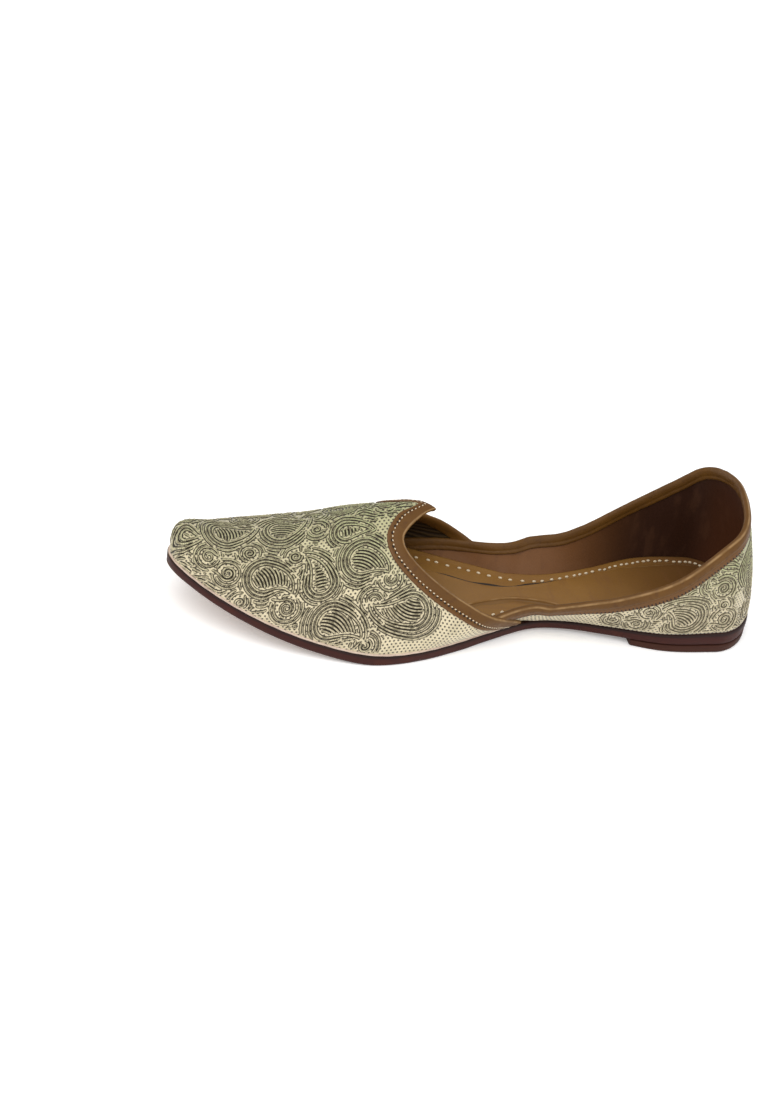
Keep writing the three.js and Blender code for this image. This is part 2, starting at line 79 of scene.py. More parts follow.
class Wire:
    """One output of a node; Python's operators on it add Math nodes."""

    def __init__(self, tree, socket=None):
        self.tree, self.socket = tree, socket

    def node(self, kind, settings=None, output=0, **sockets):
        """Any other node. Settings come first; a socket is named s0, s1 or by its own name"""
        node = self.tree.nodes.new(kind)
        for name, value in (settings or {}).items():
            if name == "stops":
                ramp = node.color_ramp.elements
                while len(ramp) < len(value):
                    ramp.new(0.5)
                for element, (place, colour) in zip(ramp, value):
                    element.position, element.color = place, (*colour, 1.0)
            else:
                setattr(node, name, value)
        for name, value in sockets.items():
            key = int(name[1:]) if name[1:].isdigit() else name.replace("_", " ")
            if isinstance(value, Wire):
                self.tree.links.new(value.socket, node.inputs[key])
            else:
                node.inputs[key].default_value = value
        return Wire(self.tree, node.outputs[output])

    def maths(self, operation, *others):
        """A Math node on this number and others"""
        return self.node("ShaderNodeMath", {"operation": operation},
                         **{f"s{k}": value for k, value in enumerate((self, *others))})

    def __add__(self, other): return self.maths("ADD", other)
    def __sub__(self, other): return self.maths("SUBTRACT", other)
    def __mul__(self, other): return self.maths("MULTIPLY", other)
    def __truediv__(self, other): return self.maths("DIVIDE", other)
    def __rsub__(self, other): return (self - other) * -1.0
    __radd__, __rmul__ = __add__, __mul__

    def part(self, which):
        """One of the three numbers of a place: 0, 1 or 2"""
        return self.node("ShaderNodeSeparateXYZ", output=which, s0=self)

    def from_middle(self, pitch):
        """How far this number is from the middle of the step of a repeat that it falls in"""
        steps = self / pitch
        return (steps - steps.maths("FLOOR") - 0.5) * pitch

    def rise(self, low, high):
        """0 below low and 1 above high, soft between; the other way round where low is the larger"""
        return self.node("ShaderNodeMapRange", {"interpolation_type": "SMOOTHSTEP"},
                         s0=self, s1=low, s2=high)

    def between(self, low, high):
        """One colour where this is 0 and another where it is 1"""
        low, high = (c if isinstance(c, Wire) else (*c, 1.0) for c in (low, high))
        return self.node("ShaderNodeMix", {"data_type": "RGBA"}, output=2, s0=self, s6=low, s7=high)

    def noise(self, size, detail=2.0, stretch=(1, 1, 1), rough=0.5):
        """Soft blotches of a size in mm on this place; stretch draws them out along an axis"""
        scaled = self.node("ShaderNodeMapping", s3=tuple(1 / s for s in stretch), Vector=self)
        return self.node("ShaderNodeTexNoise", Vector=scaled, Scale=1 / (size * MM), Detail=detail,
                         Roughness=rough)

    def cells(self, size, feature="F1"):
        return self.node("ShaderNodeTexVoronoi", {"feature": feature}, Vector=self,
                         Scale=1 / (size * MM))


def finish(name, build, roughness=0.5, **constants):
    """A material; build gets the place on the piece and its flat layout, and returns socket wires"""
    material = bpy.data.materials.new(name)
    material.use_nodes = True
    tree = material.node_tree
    shader = tree.nodes["Principled BSDF"]
    shader.inputs["Roughness"].default_value = roughness
    for key, value in constants.items():
        shader.inputs[key.replace("_", " ")].default_value = value
    start = Wire(tree)
    place = start.node("ShaderNodeTexCoord", output=3)
    flat = start.node("ShaderNodeUVMap", {"uv_map": "flat"})
    for key, wire in build(place, flat).items():
        if key == "Height":
            wire = start.node("ShaderNodeBump", Height=wire, Strength=1.0, Distance=MM)
            key = "Normal"
        tree.links.new(wire.socket, shader.inputs[key])
    return material


def glowing_floor_paper(place, flat):
    return {"Base Color": place.noise(400).between((0.96, 0.96, 0.96), (0.98, 0.98, 0.98))}


bm = bmesh.new()
bmesh.ops.create_grid(bm, x_segments=8, y_segments=8, size=6.0)
floor_mesh = bpy.data.meshes.new("floor")
bm.to_mesh(floor_mesh)
bm.free()
floor = bpy.data.objects.new("floor", floor_mesh)
# The floor's white emission is painted light: it glows to wash out the shoe's cast shadow, and lights
# the shoe a little from below.
floor.data.materials.append(finish("glowing_floor_paper", glowing_floor_paper, 0.9, Emission_Color=(1.0, 1.0, 1.0, 1.0),
                                   Emission_Strength=0.20))
scene.collection.objects.link(floor)

# Outsole --------------------------------------------------------------------------------------
# One thickness of hard leather, 4 to 6 mm, cut 1 mm wider than the shoe, its edge stained dark
# red-brown and burnished, with a sprung toe and a low arch. Lengths are in mm from here on.
HALF_LENGTH, HALF_BALL = 142.5, 49.0
# Share of the length from the heel, half width over the ball's, height of the sole's top, thickness
LAST = np.array([
    (0.00, 0.606, 11.1, 6.6), (0.08, 0.643, 11.0, 6.5), (0.17, 0.647, 9.4, 5.4),
    (0.27, 0.477, 7.2, 4.4), (0.33, 0.388, 6.4, 4.1), (0.38, 0.369, 6.0, 4.2),
    (0.48, 0.590, 5.5, 4.8), (0.54, 0.759, 5.1, 5.4),
    (0.59, 0.885, 5.0, 5.4), (0.67, 0.995, 5.4, 5.6), (0.78, 0.889, 8.8, 5.2), (0.89, 0.679, 16.2, 5.0),
    (1.00, 0.488, 26.0, 4.8)])
SOLE_MARGIN = 1.0


def along(table, column, at):
    """A smooth curve through one column of a table, over its first column"""
    keys, values = table[:, 0], table[:, column]
    gap = np.diff(keys)
    slope = np.diff(values) / gap
    inner = (slope[:-1] * gap[1:] + slope[1:] * gap[:-1]) / (gap[:-1] + gap[1:])
    tangent = np.concatenate([slope[:1], inner, slope[-1:]])
    at = np.clip(at, keys[0], keys[-1])
    i = np.clip(np.searchsorted(keys, at) - 1, 0, len(keys) - 2)
    t = (at - keys[i]) / gap[i]
    return ((2 * t**3 - 3 * t**2 + 1) * values[i] + (t**3 - 2 * t**2 + t) * gap[i] * tangent[i]
            + (3 * t**2 - 2 * t**3) * values[i + 1] + (t**3 - t**2) * gap[i] * tangent[i + 1])


def smooth(low, high, x):
    t = np.clip((x - low) / (high - low), 0, 1)
    return t * t * (3 - 2 * t)


def onto(x, reach, end):
    """0 further than reach from an end of the shoe, rising to 1 at the end"""
    return np.clip((reach - np.abs(end - x)) / reach, 0, 1)


def share(x):
    return (x + HALF_LENGTH) / (2 * HALF_LENGTH)


def rounding(x):
    """1 along the middle of the plan and 0 at the very heel and toe"""
    toe = np.maximum(1 - onto(x, 48.5, HALF_LENGTH) ** 2.23, 0) ** (1 / 1.99)
    return toe * np.maximum(1 - onto(x, 23.5, -HALF_LENGTH) ** 2.07, 0) ** (1 / 1.84)


def half_width(x):
    return along(LAST, 1, share(x)) * HALF_BALL * rounding(x)


def feather(x):
    """Height of the sole's top"""
    return along(LAST, 2, share(x))


def underside(x):
    return np.maximum(feather(x) - along(LAST, 3, share(x)), 0)


# The footline is the shoe's edge in plan, by its length from the back of the heel, positive on the left
foot_x = -HALF_LENGTH * np.cos(np.linspace(0, np.pi, 2401))
foot_y = half_width(foot_x)
foot_length = np.concatenate([[0], np.cumsum(np.hypot(np.diff(foot_x), np.diff(foot_y)))])
FOOT_END = foot_length[-1]


def length_to(x):
    return np.interp(x, foot_x, foot_length)


def foot_point(length):
    far = np.abs(length)
    return np.interp(far, foot_length, foot_x), np.interp(far, foot_length, foot_y) * np.sign(length)


def foot_edge(length):
    """A point of the footline and its outward direction in plan"""
    x, y = foot_point(length)
    reach = 1.5
    ahead, behind = foot_point(np.minimum(length + reach, FOOT_END)), foot_point(
        np.maximum(length - reach, -FOOT_END))
    across, forth = behind[1] - ahead[1], ahead[0] - behind[0]
    size = np.hypot(across, forth)
    toe = FOOT_END - np.abs(length) < 1e-6
    return x, y, np.where(toe, 1, across / size), np.where(toe, 0, forth / size)


def points(x, y, z):
    return np.stack(np.broadcast_arrays(x, y, z), -1).astype(float)


def piece(bm, name, material, slot, *replaced, smooth_faces=True):
    """An object of the bmesh, in place, that rides on the shoe"""
    mesh = bpy.data.meshes.new(name)
    bm.to_mesh(mesh)
    bm.free()
    mesh.polygons.foreach_set("use_smooth", [smooth_faces] * len(mesh.polygons))
    item = bpy.data.objects.new(name, mesh)
    mesh.materials.append(material)
    scene.collection.objects.link(item)
    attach(item, "root")
    if replaced:
        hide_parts(*replaced)
    return item


def move(bm, places, flat=None):
    """Puts the vertices at places in mm, and their flat layout in mm into the UV map"""
    for vertex, place in zip(bm.verts, places * MM):
        vertex.co = place
    if flat is not None:
        layer = bm.loops.layers.uv["flat"]
        for face in bm.faces:
            for loop in face.loops:
                loop[layer].uv = flat[loop.vert.index]


def cloth_grid(columns, rows, shape):
    """A grid bent by shape, which turns u and v from 0 to 1 into places and a flat layout"""
    bm = bmesh.new()
    bm.loops.layers.uv.new("flat")
    bmesh.ops.create_grid(bm, x_segments=columns, y_segments=rows, size=0.5)
    bm.verts.index_update()
    corner = np.array([v.co[:2] for v in bm.verts]) + 0.5
    places, flat = shape(corner[:, 0], corner[:, 1])
    move(bm, places, flat)
    return bm


def mirrored(bm):
    """The other half of a piece, joined to it on the middle plane"""
    geometry = bm.verts[:] + bm.edges[:] + bm.faces[:]
    bmesh.ops.mirror(bm, geom=geometry, merge_dist=1e-5, axis="Y")
    bmesh.ops.remove_doubles(bm, verts=bm.verts, dist=2e-5)
    bmesh.ops.dissolve_degenerate(bm, edges=bm.edges, dist=2e-5)
    bmesh.ops.recalc_face_normals(bm, faces=bm.faces)
    return bm


# A sole's section from the middle of its top, over its rounded edge, to the middle of its underside:
# share of the way out, inset from the edge, share of the way down
SOLE_SECTION = np.array([
    (0.0, 0, 0), (0.35, 0, 0), (0.7, 0, 0), (0.93, 0, 0), (1, 2.2, 0), (1, 0.9, 0), (1, 0.35, 0.05),
    (1, 0.08, 0.16), (1, 0.0, 0.32), (1, 0.0, 0.5), (1, 0.0, 0.68), (1, 0.1, 0.82), (1, 0.45, 0.94),
    (1, 1.1, 1), (1, 2.6, 1), (0.93, 0, 1), (0.7, 0, 1), (0.35, 0, 1), (0.0, 0, 1)])


def sole_slab(x_end, top, bottom, margin):
    """A slab under the footline, from the heel to x_end"""
    last = len(SOLE_SECTION) - 1

    def shape(u, v):
        x, y, nx, ny = foot_edge(u * length_to(x_end))
        row = SOLE_SECTION[np.round(v * last).astype(int)]
        out = margin - row[:, 1]
        edge_x, edge_y = x + nx * out, np.maximum(y + ny * out, 0)
        ease = np.clip(y / 8, 0, 1)
        z = top(x) + (bottom(x) - top(x)) * row[:, 2]
        place = points(edge_x * row[:, 0] + (x * ease + edge_x * (1 - ease)) * (1 - row[:, 0]),
                       edge_y * row[:, 0], z)
        return place, np.stack([u * length_to(x_end) / 100, v], -1)

    return cloth_grid(220, last, shape)


def sole_edge(place, flat):
    across = flat.part(1)
    side = across.rise(0.22, 0.27) * (1 - across.rise(0.74, 0.8))
    upper_line = across.rise(0.25, 0.32) * (1 - across.rise(0.36, 0.46))
    fibres = place.noise(1.2, 4, (6, 6, 0.6))
    wear = place.noise(9, 3).rise(0.52, 0.7)
    stained = fibres.between((0.027, 0.0055, 0.0040), (0.050, 0.011, 0.0075))
    stained = (wear * 0.3).between(stained, (0.080, 0.024, 0.015))
    stained = (upper_line * 0.75).between(stained, (0.010, 0.006, 0.006))
    bare = place.noise(14, 5).between((0.17, 0.090, 0.045), (0.27, 0.160, 0.090))
    scuffs = place.noise(2.2, 4, (9, 1, 1)).rise(0.56, 0.7)
    bare = (scuffs * 0.5).between(bare, (0.10, 0.055, 0.032))
    return {"Base Color": side.between(bare, stained),
            "Roughness": 0.42 + 0.25 * fibres + 0.12 * wear,
            "Height": fibres * 0.10 + scuffs * 0.08 * (1 - side)}


sole_leather = finish("sole_leather", sole_edge, Specular_IOR_Level=0.18)
piece(mirrored(sole_slab(HALF_LENGTH, feather, underside, SOLE_MARGIN)), "outsole_leather",
      sole_leather, "sole_leather", "outsole")

# Heel lift ------------------------------------------------------------------------------------
# A flat layer of the same leather, pasted and pegged under the heel; its front is cut straight.
LIFT_FRONT = -78.0
lift = mirrored(sole_slab(LIFT_FRONT, lambda x: underside(x) - 0.25, lambda x: 0 * x, SOLE_MARGIN))
bmesh.ops.holes_fill(lift, edges=lift.edges, sides=0)
bmesh.ops.recalc_face_normals(lift, faces=lift.faces)


def lift_edge(place, flat):
    fibres = place.noise(1.0, 4, (6, 6, 0.5))
    layer = place.noise(6, 3, (3, 3, 1))
    colour = fibres.between((0.030, 0.010, 0.006), (0.060, 0.020, 0.012))
    return {"Base Color": (layer.rise(0.5, 0.75) * 0.35).between(colour, (0.085, 0.036, 0.022)),
            "Roughness": 0.5 + 0.25 * fibres, "Height": fibres * 0.12}


piece(lift, "heel_lift_leather", finish("lift_leather", lift_edge, Specular_IOR_Level=0.15),
      "lift_leather", "heel_lift", smooth_faces=False)

# Insole ---------------------------------------------------------------------------------------
# Brown leather over a stiff board, with the shoe stitched through it by hand: short cream
# stitches in a row that follows the wall, wide apart at the front and close at the heel.
WALL, GAP, LAP = 1.6, 0.3, 1.4
INSOLE_THICKNESS = 2.2


def under(x):
    """1 where the vamp lies over the quarter, 0 behind that"""
    return smooth(-32, -24, x)


def insole_top(x):
    return feather(x) + GAP + INSOLE_THICKNESS


def floor_height(x, inset):
    """The floor turns up a little where it meets the wall"""
    return insole_top(x) + 0.9 * smooth(7.5, 2.0, inset)


def insole_shape(u, v):
    x, y, nx, ny = foot_edge(u * FOOT_END)
    inset = WALL + GAP + LAP * under(x) * (1 - smooth(38, 42, x))
    across = np.minimum(v / 0.95, 1)
    half = np.maximum(y - ny * inset, 0)
    edge_x = x - nx * inset
    ease = np.clip(y / 8, 0, 1) * (1 - across)
    x = edge_x * (1 - ease) + x * ease
    z = floor_height(x, half * (1 - across) + inset) - INSOLE_THICKNESS * (v > 0.97)
    place = points(x, half * across, z)
    return place, place[:, :2] / 100


def floor_leather(place, flat):
    """Smooth tan-brown lining leather, polished by wear, with a fine pebble grain"""
    grain = place.cells(0.55, "SMOOTH_F1")
    pores = place.noise(0.35, 3)
    tone = place.noise(26, 4)
    streaks = place.noise(3.5, 3, (5, 1, 1))
    colour = tone.between((0.165, 0.074, 0.012), (0.235, 0.116, 0.022))
    # Painted shade: darker towards the heel, where the heel cup shades the insole.
    colour = (place.part(0).rise(-0.07, -0.13) * 0.8).between(colour, (0.080, 0.032, 0.009))
    colour = (streaks.rise(0.45, 0.75) * 0.35).between(colour, (0.15, 0.062, 0.022))
    colour = (pores.rise(0.55, 0.75) * 0.3).between(colour, (0.12, 0.05, 0.018))
    return {"Base Color": colour, "Roughness": 0.40 + 0.18 * tone + 0.1 * pores,
            "Height": grain * 0.05 + pores * 0.03 + streaks * 0.05}


insole_leather = finish("insole_leather", floor_leather, Specular_IOR_Level=0.30)
piece(mirrored(cloth_grid(260, 40, insole_shape)), "insole_leather", insole_leather,
      "insole_leather", "insole")


def stitch_row(name, material, slot, where, heading, normal, size):
    """Short plump stitches, one at each place in mm, of a length, width and height"""
    bm = bmesh.new()
    length, width, height = size
    for spot, ahead, up in zip(where, heading, normal):
        ahead = Vector(ahead).normalized()
        up = Vector(up)
        up = (up - ahead * up.dot(ahead)).normalized()
        frame_of = Matrix((ahead, up.cross(ahead), up)).transposed().to_4x4()
        grow = Matrix.Diagonal((length / 2, width / 2, height, 1))
        bmesh.ops.create_uvsphere(bm, u_segments=8, v_segments=6, radius=MM,
                                  matrix=Matrix.Translation(Vector(spot) * MM) @ frame_of @ grow)
    return piece(bm, name, material, slot)


def thread(place, flat):
    """Waxed cotton: cream, a little grey where it has been trodden on"""
    strands = place.noise(0.4, 2, (4, 1, 1))
    colour = place.noise(7, 3).between((0.52, 0.41, 0.27), (0.74, 0.64, 0.48))
    return {"Base Color": (strands.rise(0.5, 0.8) * 0.4).between(colour, (0.36, 0.25, 0.14)),
            "Height": strands * 0.2}


thread_finish = finish("cream_thread", thread, 0.7)
# A stitch is its length, width and height. The tables give, along the shoe, how far in from the wall
# the row lies and how far apart its stitches are
FLOOR_STITCH = (2.1, 1.2, 0.6)
STITCH_INSET = np.array([(-143, 6.0), (-90, 5.4), (-60, 5.4), (-30, 7.2), (10, 9.0), (60, 9.5)])
STITCH_PITCH = np.array([(-143, 3.5), (-60, 3.7), (-30, 4.8), (60, 5.4)])
stitch_at, place_now = [], 3.0
while place_now < length_to(52.0):
    stitch_at.append(place_now)
    place_now += along(STITCH_PITCH, 1, foot_point(place_now)[0])
rng = np.random.default_rng(7)
stitch_at = np.array(stitch_at) + rng.normal(0, 0.35, len(stitch_at))
x, y, nx, ny = foot_edge(stitch_at)
inset = along(STITCH_INSET, 1, x) + rng.normal(0, 0.25, len(x))
spots, ways = [], []
for side in (1, -1):
    jitter = rng.normal(0, 0.12, len(x))
    at = x - nx * inset
    spots.append(points(at, side * (y - ny * inset), floor_height(at, inset) + 0.2))
    ways.append(points(-ny + jitter, side * (nx + jitter), 0 * x))
spots, ways = np.concatenate(spots), np.concatenate(ways)
stitch_row("floor_stitches", thread_finish, "insole_leather", spots, ways,
           np.tile((0, 0, 1), (len(spots), 1)), FLOOR_STITCH)

# Sock -----------------------------------------------------------------------------------------
# A padded hourglass of the same leather glued on the insole, with a pale raw edge and, beside
# it, a dark strip of painted shadow, strong on the right side and faint on the left.
SOCK = np.array([(0.02, 18), (0.11, 22.5), (0.22, 19.5), (0.31, 13), (0.38, 6.6), (0.43, 5),
                 (0.47, 7.4), (0.56, 19), (0.65, 31), (0.75, 32), (0.84, 24)])
SOCK_BACK, SOCK_TIP = -136.8, 96.9
# Out from the middle of the sock over its edge to the strip of painted shadow round it: share of
# the half width, distance out from the edge, height
SOCK_SECTION = np.array([(0, 0, 1.25), (0.25, 0, 1.25), (0.5, 0, 1.22), (0.72, 0, 1.15),
                         (0.88, 0, 1.05), (1, -1.1, 0.98), (1, -0.45, 0.9), (1, -0.1, 0.7),
                         (1, 0, 0.4), (1, 0.05, 0.02), (1, 0.5, 0.02), (1, 1.0, 0.0)])


def sock_shape(u, v):
    x = (SOCK_BACK + SOCK_TIP) / 2 - (SOCK_TIP - SOCK_BACK) / 2 * np.cos(np.pi * u)
    ends = (1 - onto(x, 18, SOCK_BACK) ** 2) * (1 - onto(x, 18, SOCK_TIP) ** 2)
    half = along(SOCK, 1, share(x)) * np.sqrt(np.maximum(ends, 0))
    row = np.round(v * (len(SOCK_SECTION) - 1)).astype(int)
    share_out, out, up = SOCK_SECTION[row].T
    gap_width = 0.45 + (1.9 + 0.5 * np.sin(x / 3.1)) * smooth(-62, -38, x)
    out = np.where(row > 9, out * gap_width, out) * smooth(0, 6, half)
    inner = np.where(share_out < 1, 1 - 1.1 / np.maximum(half, 9), 1)
    y = np.maximum(half * share_out + out, 0) * inner
    lift = 0.3 * smooth(0.8, 1, share_out) * (1 + np.sin(x / 7.0)) * (up > 0.3)
    place = points(x, y, insole_top(x) + 0.05 + up + lift)
    return place, np.stack([x / 100, row / 10], -1)


def sock_leather(place, flat):
    out = flat.part(1)
    grain = place.cells(0.6, "SMOOTH_F1")
    tone = place.noise(22, 4)
    creases = place.noise(5, 4, (1, 4, 1))
    colour = tone.between((0.160, 0.072, 0.012), (0.235, 0.114, 0.022))
    # Painted shade: darker towards the heel, where the heel cup shades the sock.
    colour = (place.part(0).rise(-0.05, -0.13) * 0.8).between(colour, (0.080, 0.032, 0.009))
    colour = (creases.rise(0.52, 0.72) * 0.3).between(colour, (0.15, 0.065, 0.024))
    one_side = place.part(1).rise(0.004, -0.002)
    raw = out.rise(0.55, 0.65) * (1 - out.rise(0.72, 0.80)) * (0.3 + 0.7 * one_side)
    # The flat strip beyond the edge is a painted shadow of the gap round the sock: near-black on the
    # right, faint on the left.
    painted_gap_shadow = out.rise(0.78, 0.88)
    colour = (raw * place.noise(9, 2).rise(0.4, 0.6) * 0.8).between(colour, (0.46, 0.31, 0.16))
    return {"Base Color": (painted_gap_shadow * (0.2 + 0.8 * one_side)).between(colour, (0.016, 0.009, 0.006)),
            "Roughness": 0.38 + 0.2 * tone + 0.2 * raw,
            "Height": grain * 0.05 + creases * 0.08}


piece(mirrored(cloth_grid(240, len(SOCK_SECTION) - 1, sock_shape)), "sock_leather",
      finish("sock_leather", sock_leather, Specular_IOR_Level=0.30), "sock_leather", "sock")

# Quarter --------------------------------------------------------------------------------------
# Brocade pasted over soft leather: one low wall round the heel and waist, pulled in at its foot
# where it is lasted. Its front ends run inside the vamp.
# Share of the length, top edge over the heel's height, swell at 30 mm up, inward lean
QUARTER = np.array([(0.00, 1.000, 0.0, 6.0), (0.06, 0.860, 0.4, 0.9), (0.12, 0.689, 2.1, 0),
                    (0.20, 0.461, 6.7, 0), (0.29, 0.295, 11.1, 0), (0.38, 0.236, 15.6, 0),
                    (0.46, 0.175, 7.8, 0), (0.57, 0.092, 2.0, 0), (0.65, 0.035, 3.0, 0)])
HEEL_HEIGHT, INSTEP_HEIGHT = 64.4, 64.0
# Share of the length, ridge height over the instep's, swell over the sole, squareness of section
VAMP = np.array([(0.36, 0.988, 6.1, 2.19), (0.45, 0.924, 7.6, 2.18), (0.53, 0.734, 7.2, 1.75),
                 (0.61, 0.809, 2.8, 1.38), (0.71, 0.690, 1.8, 1.42), (0.82, 0.467, 2.2, 1.60),
                 (0.90, 0.317, 2.6, 1.80), (1.00, 0.251, 1.3, 1.94)])


def leaning(length, height):
    """The quarter's own form"""
    x, y, nx, ny = foot_edge(length)
    at = share(x)
    out = (along(QUARTER, 2, at) * (1 - (1 - np.minimum(height / 30, 1)) ** 2)
           - along(QUARTER, 3, at) * np.maximum(height - 10, 0) ** 1.5 / 300)
    rake = 10.2 * (np.maximum(height, 0) / HEEL_HEIGHT) ** 1.34 * (1 - smooth(-142.5, -72.5, x))
    return points(x + nx * out + rake, y + ny * out, feather(x) + height)


def section(x):
    """The vamp's half width, ridge height, power, and how far its foot is drawn in"""
    at = share(x)
    tuck = along(VAMP, 2, at) * rounding(x)
    nose = np.maximum(1 - onto(x, 10, HALF_LENGTH) ** 3.24, 0) ** (1 / 3.24)
    return half_width(x) + tuck, along(VAMP, 1, at) * INSTEP_HEIGHT * nose, along(VAMP, 3, at), tuck


def tucked(y, wide, tuck, height):
    return y * (1 - tuck * np.maximum(0, 1 - height / 14) ** 2 / np.maximum(wide, 1e-3))


def quarter_face(length, height):
    x = foot_point(length)[0]
    wide, crest, power, tuck = section(x)
    y = wide * (1 - np.clip(height / crest, 0, 1) ** power) ** (1 / power)
    over = smooth(-35, 5, x)[..., None]
    vamp_form = points(x, tucked(y, wide, tuck, height) * np.sign(length), feather(x) + height)
    return leaning(length, height) * (1 - over) + vamp_form * over


def vamp_face(x, turn):
    """The vamp's face at x, and at an angle up round its section in degrees; 90 is the ridge"""
    wide, crest, power, tuck = section(x)
    angle = np.radians(turn)
    wide_safe, crest_safe = np.maximum(wide, 1e-6), np.maximum(crest, 1e-6)
    radius = ((np.abs(np.cos(angle)) / wide_safe) ** power
              + (np.abs(np.sin(angle)) / crest_safe) ** power) ** (-1 / power)
    height = radius * np.sin(angle)
    own = points(x, tucked(radius * np.cos(angle), wide, tuck, height), feather(x) + height)
    over = smooth(-35, 5, x)[..., None]
    return leaning(length_to(x) * np.where(turn > 90, -1, 1), height) * (1 - over) + own * over


def unit(way):
    return way / np.maximum(np.linalg.norm(way, axis=-1, keepdims=True), 1e-12)


def outward(face, u, v):
    """The face's outward direction; at the sole it lies level"""
    step = 0.25
    along_u, along_v = face(u + step, v) - face(u - step, v), face(u, v + step) - face(u, v - step)
    normal = unit(np.cross(along_v, along_u))
    here = face(u, v)
    normal[..., 2] *= np.clip((here[..., 2] - feather(here[..., 0])) / 6, 0, 1)
    return unit(normal)


def walk(face, u, v, heading, distance):
    """Keeps to the face from (u, v) along a heading for a distance, and gives the place reached"""
    u, v, way = u + 0.0 * distance, v + 0.0 * distance, heading + 0.0
    steps = max(1, int(np.ceil(np.max(np.abs(distance)) / 1.5)))
    step = 0.25
    for _ in range(steps):
        along_u = (face(u + step, v) - face(u - step, v)) / (2 * step)
        along_v = (face(u, v + step) - face(u, v - step)) / (2 * step)
        normal = unit(np.cross(along_v, along_u))
        way = unit(way - normal * np.sum(way * normal, -1, keepdims=True))
        uu, uv, vv = (np.sum(a * b, -1) for a, b in
                      ((along_u, along_u), (along_u, along_v), (along_v, along_v)))
        wu, wv = np.sum(along_u * way, -1), np.sum(along_v * way, -1)
        spread = uu * vv - uv * uv
        u = u + (vv * wu - uv * wv) / spread * distance / steps
        v = v + (uu * wv - uv * wu) / spread * distance / steps
    return u, v


def top_edge(x):
    return along(QUARTER, 1, share(x)) * HEEL_HEIGHT


QUARTER_FRONT = 38.0
# Size, depth and seed of the unevenness of each part of the upper
QUARTER_RIPPLE, VAMP_RIPPLE = (24, 0.16, 3), (26, 0.22, 5)


def waves(places, size, depth, seed):
    """Soft unevenness of hand work: a few long ripples of a size and depth in mm"""
    ripple = np.random.default_rng(seed)
    total = np.zeros(len(places))
    for _ in range(9):
        way = ripple.normal(0, 1, 3)
        way /= np.linalg.norm(way)
        total += np.sin(places @ way * 2 * np.pi / (size * ripple.uniform(0.7, 1.6))
                        + ripple.uniform(0, 2 * np.pi))
    return total * depth / 3


def quarter_skin(length, height, deep):
    """Places at a depth behind the quarter's face, with its unevenness, and the outward way"""
    out = outward(quarter_face, length, height)
    places = quarter_face(length, height) - out * (deep + LAP * under(foot_point(length)[0]))[:, None]
    return places + out * (waves(places, *QUARTER_RIPPLE) * smooth(0, 6, height))[:, None], out


def quarter_sheet(deep, hem):
    def shape(u, v):
        length = length_to(QUARTER_FRONT) * (1 - 2 * u)
        x = foot_point(length)[0]
        height = v * (top_edge(x) - hem) + (GAP + 0.5 * under(x)) * (1 - v)
        return quarter_skin(length, height, deep)[0], np.stack([length, height], -1) / 100
    return shape


def layer(bm, thickness, *described):
    """A piece whose bmesh is its outer side, and whose thickness goes inward"""
    shell = piece(bm, *described).modifiers.new("thickness", "SOLIDIFY")
    shell.thickness, shell.offset = thickness * MM, -1.0


def brocade(place, flat):
    """Cream and gold weave with rows of small dark eyelets, one row set between the next"""
    pitch, row_height = 2.05, 1.50
    across = flat.part(0) * 100
    up = flat.part(1) * 100
    wobble = place.noise(5, 2) * 0.5
    across, up = across + wobble, up + wobble
    odd_row = (up / row_height).maths("FLOOR").maths("FLOORED_MODULO", 2.0)
    near_x = (across + odd_row * (pitch / 2)).from_middle(pitch)
    near_y = up.from_middle(row_height)
    far = (near_x * near_x + near_y * near_y).maths("SQRT")
    eyelet = 1 - far.rise(0.32, 0.58)
    twill = ((across + up) * 9.0).maths("SINE") * 0.5 + 0.5
    slub = place.noise(0.5, 3)
    height = place.part(2)
    # Greener and darker higher up the shoe: partly the cloth's own tone, partly painted shading of how
    # the light falls on the upper.
    top_tint_and_shade = height.rise(0.020, 0.062)
    cloth = top_tint_and_shade.between((0.700, 0.610, 0.420), (0.440, 0.440, 0.230))
    cloth = (place.noise(8, 4).rise(0.4, 0.7) * 0.35).between(cloth, (0.360, 0.310, 0.185))
    cloth = (slub.rise(0.45, 0.8) * 0.45).between(cloth, (0.250, 0.215, 0.120))
    cloth = (twill * 0.18).between(cloth, (0.30, 0.26, 0.15))
    return {"Base Color": (eyelet * 0.95).between(cloth, (0.040, 0.030, 0.016)),
            "Metallic": 0.20 * (1 - eyelet), "Roughness": 0.50 + 0.25 * slub,
            "Height": (1 - eyelet) * 0.22 + twill * 0.05 + slub * 0.12}


brocade_finish = finish("brocade", brocade, Sheen_Weight=0.25, Sheen_Roughness=0.45)
CLOTH_THICKNESS, LINING_DEEP, LINING_THICKNESS = 0.8, 0.85, 0.75
layer(cloth_grid(260, 40, quarter_sheet(0.0, 2.5)), CLOTH_THICKNESS, "quarter_brocade", brocade_finish,
      "brocade", "upper")


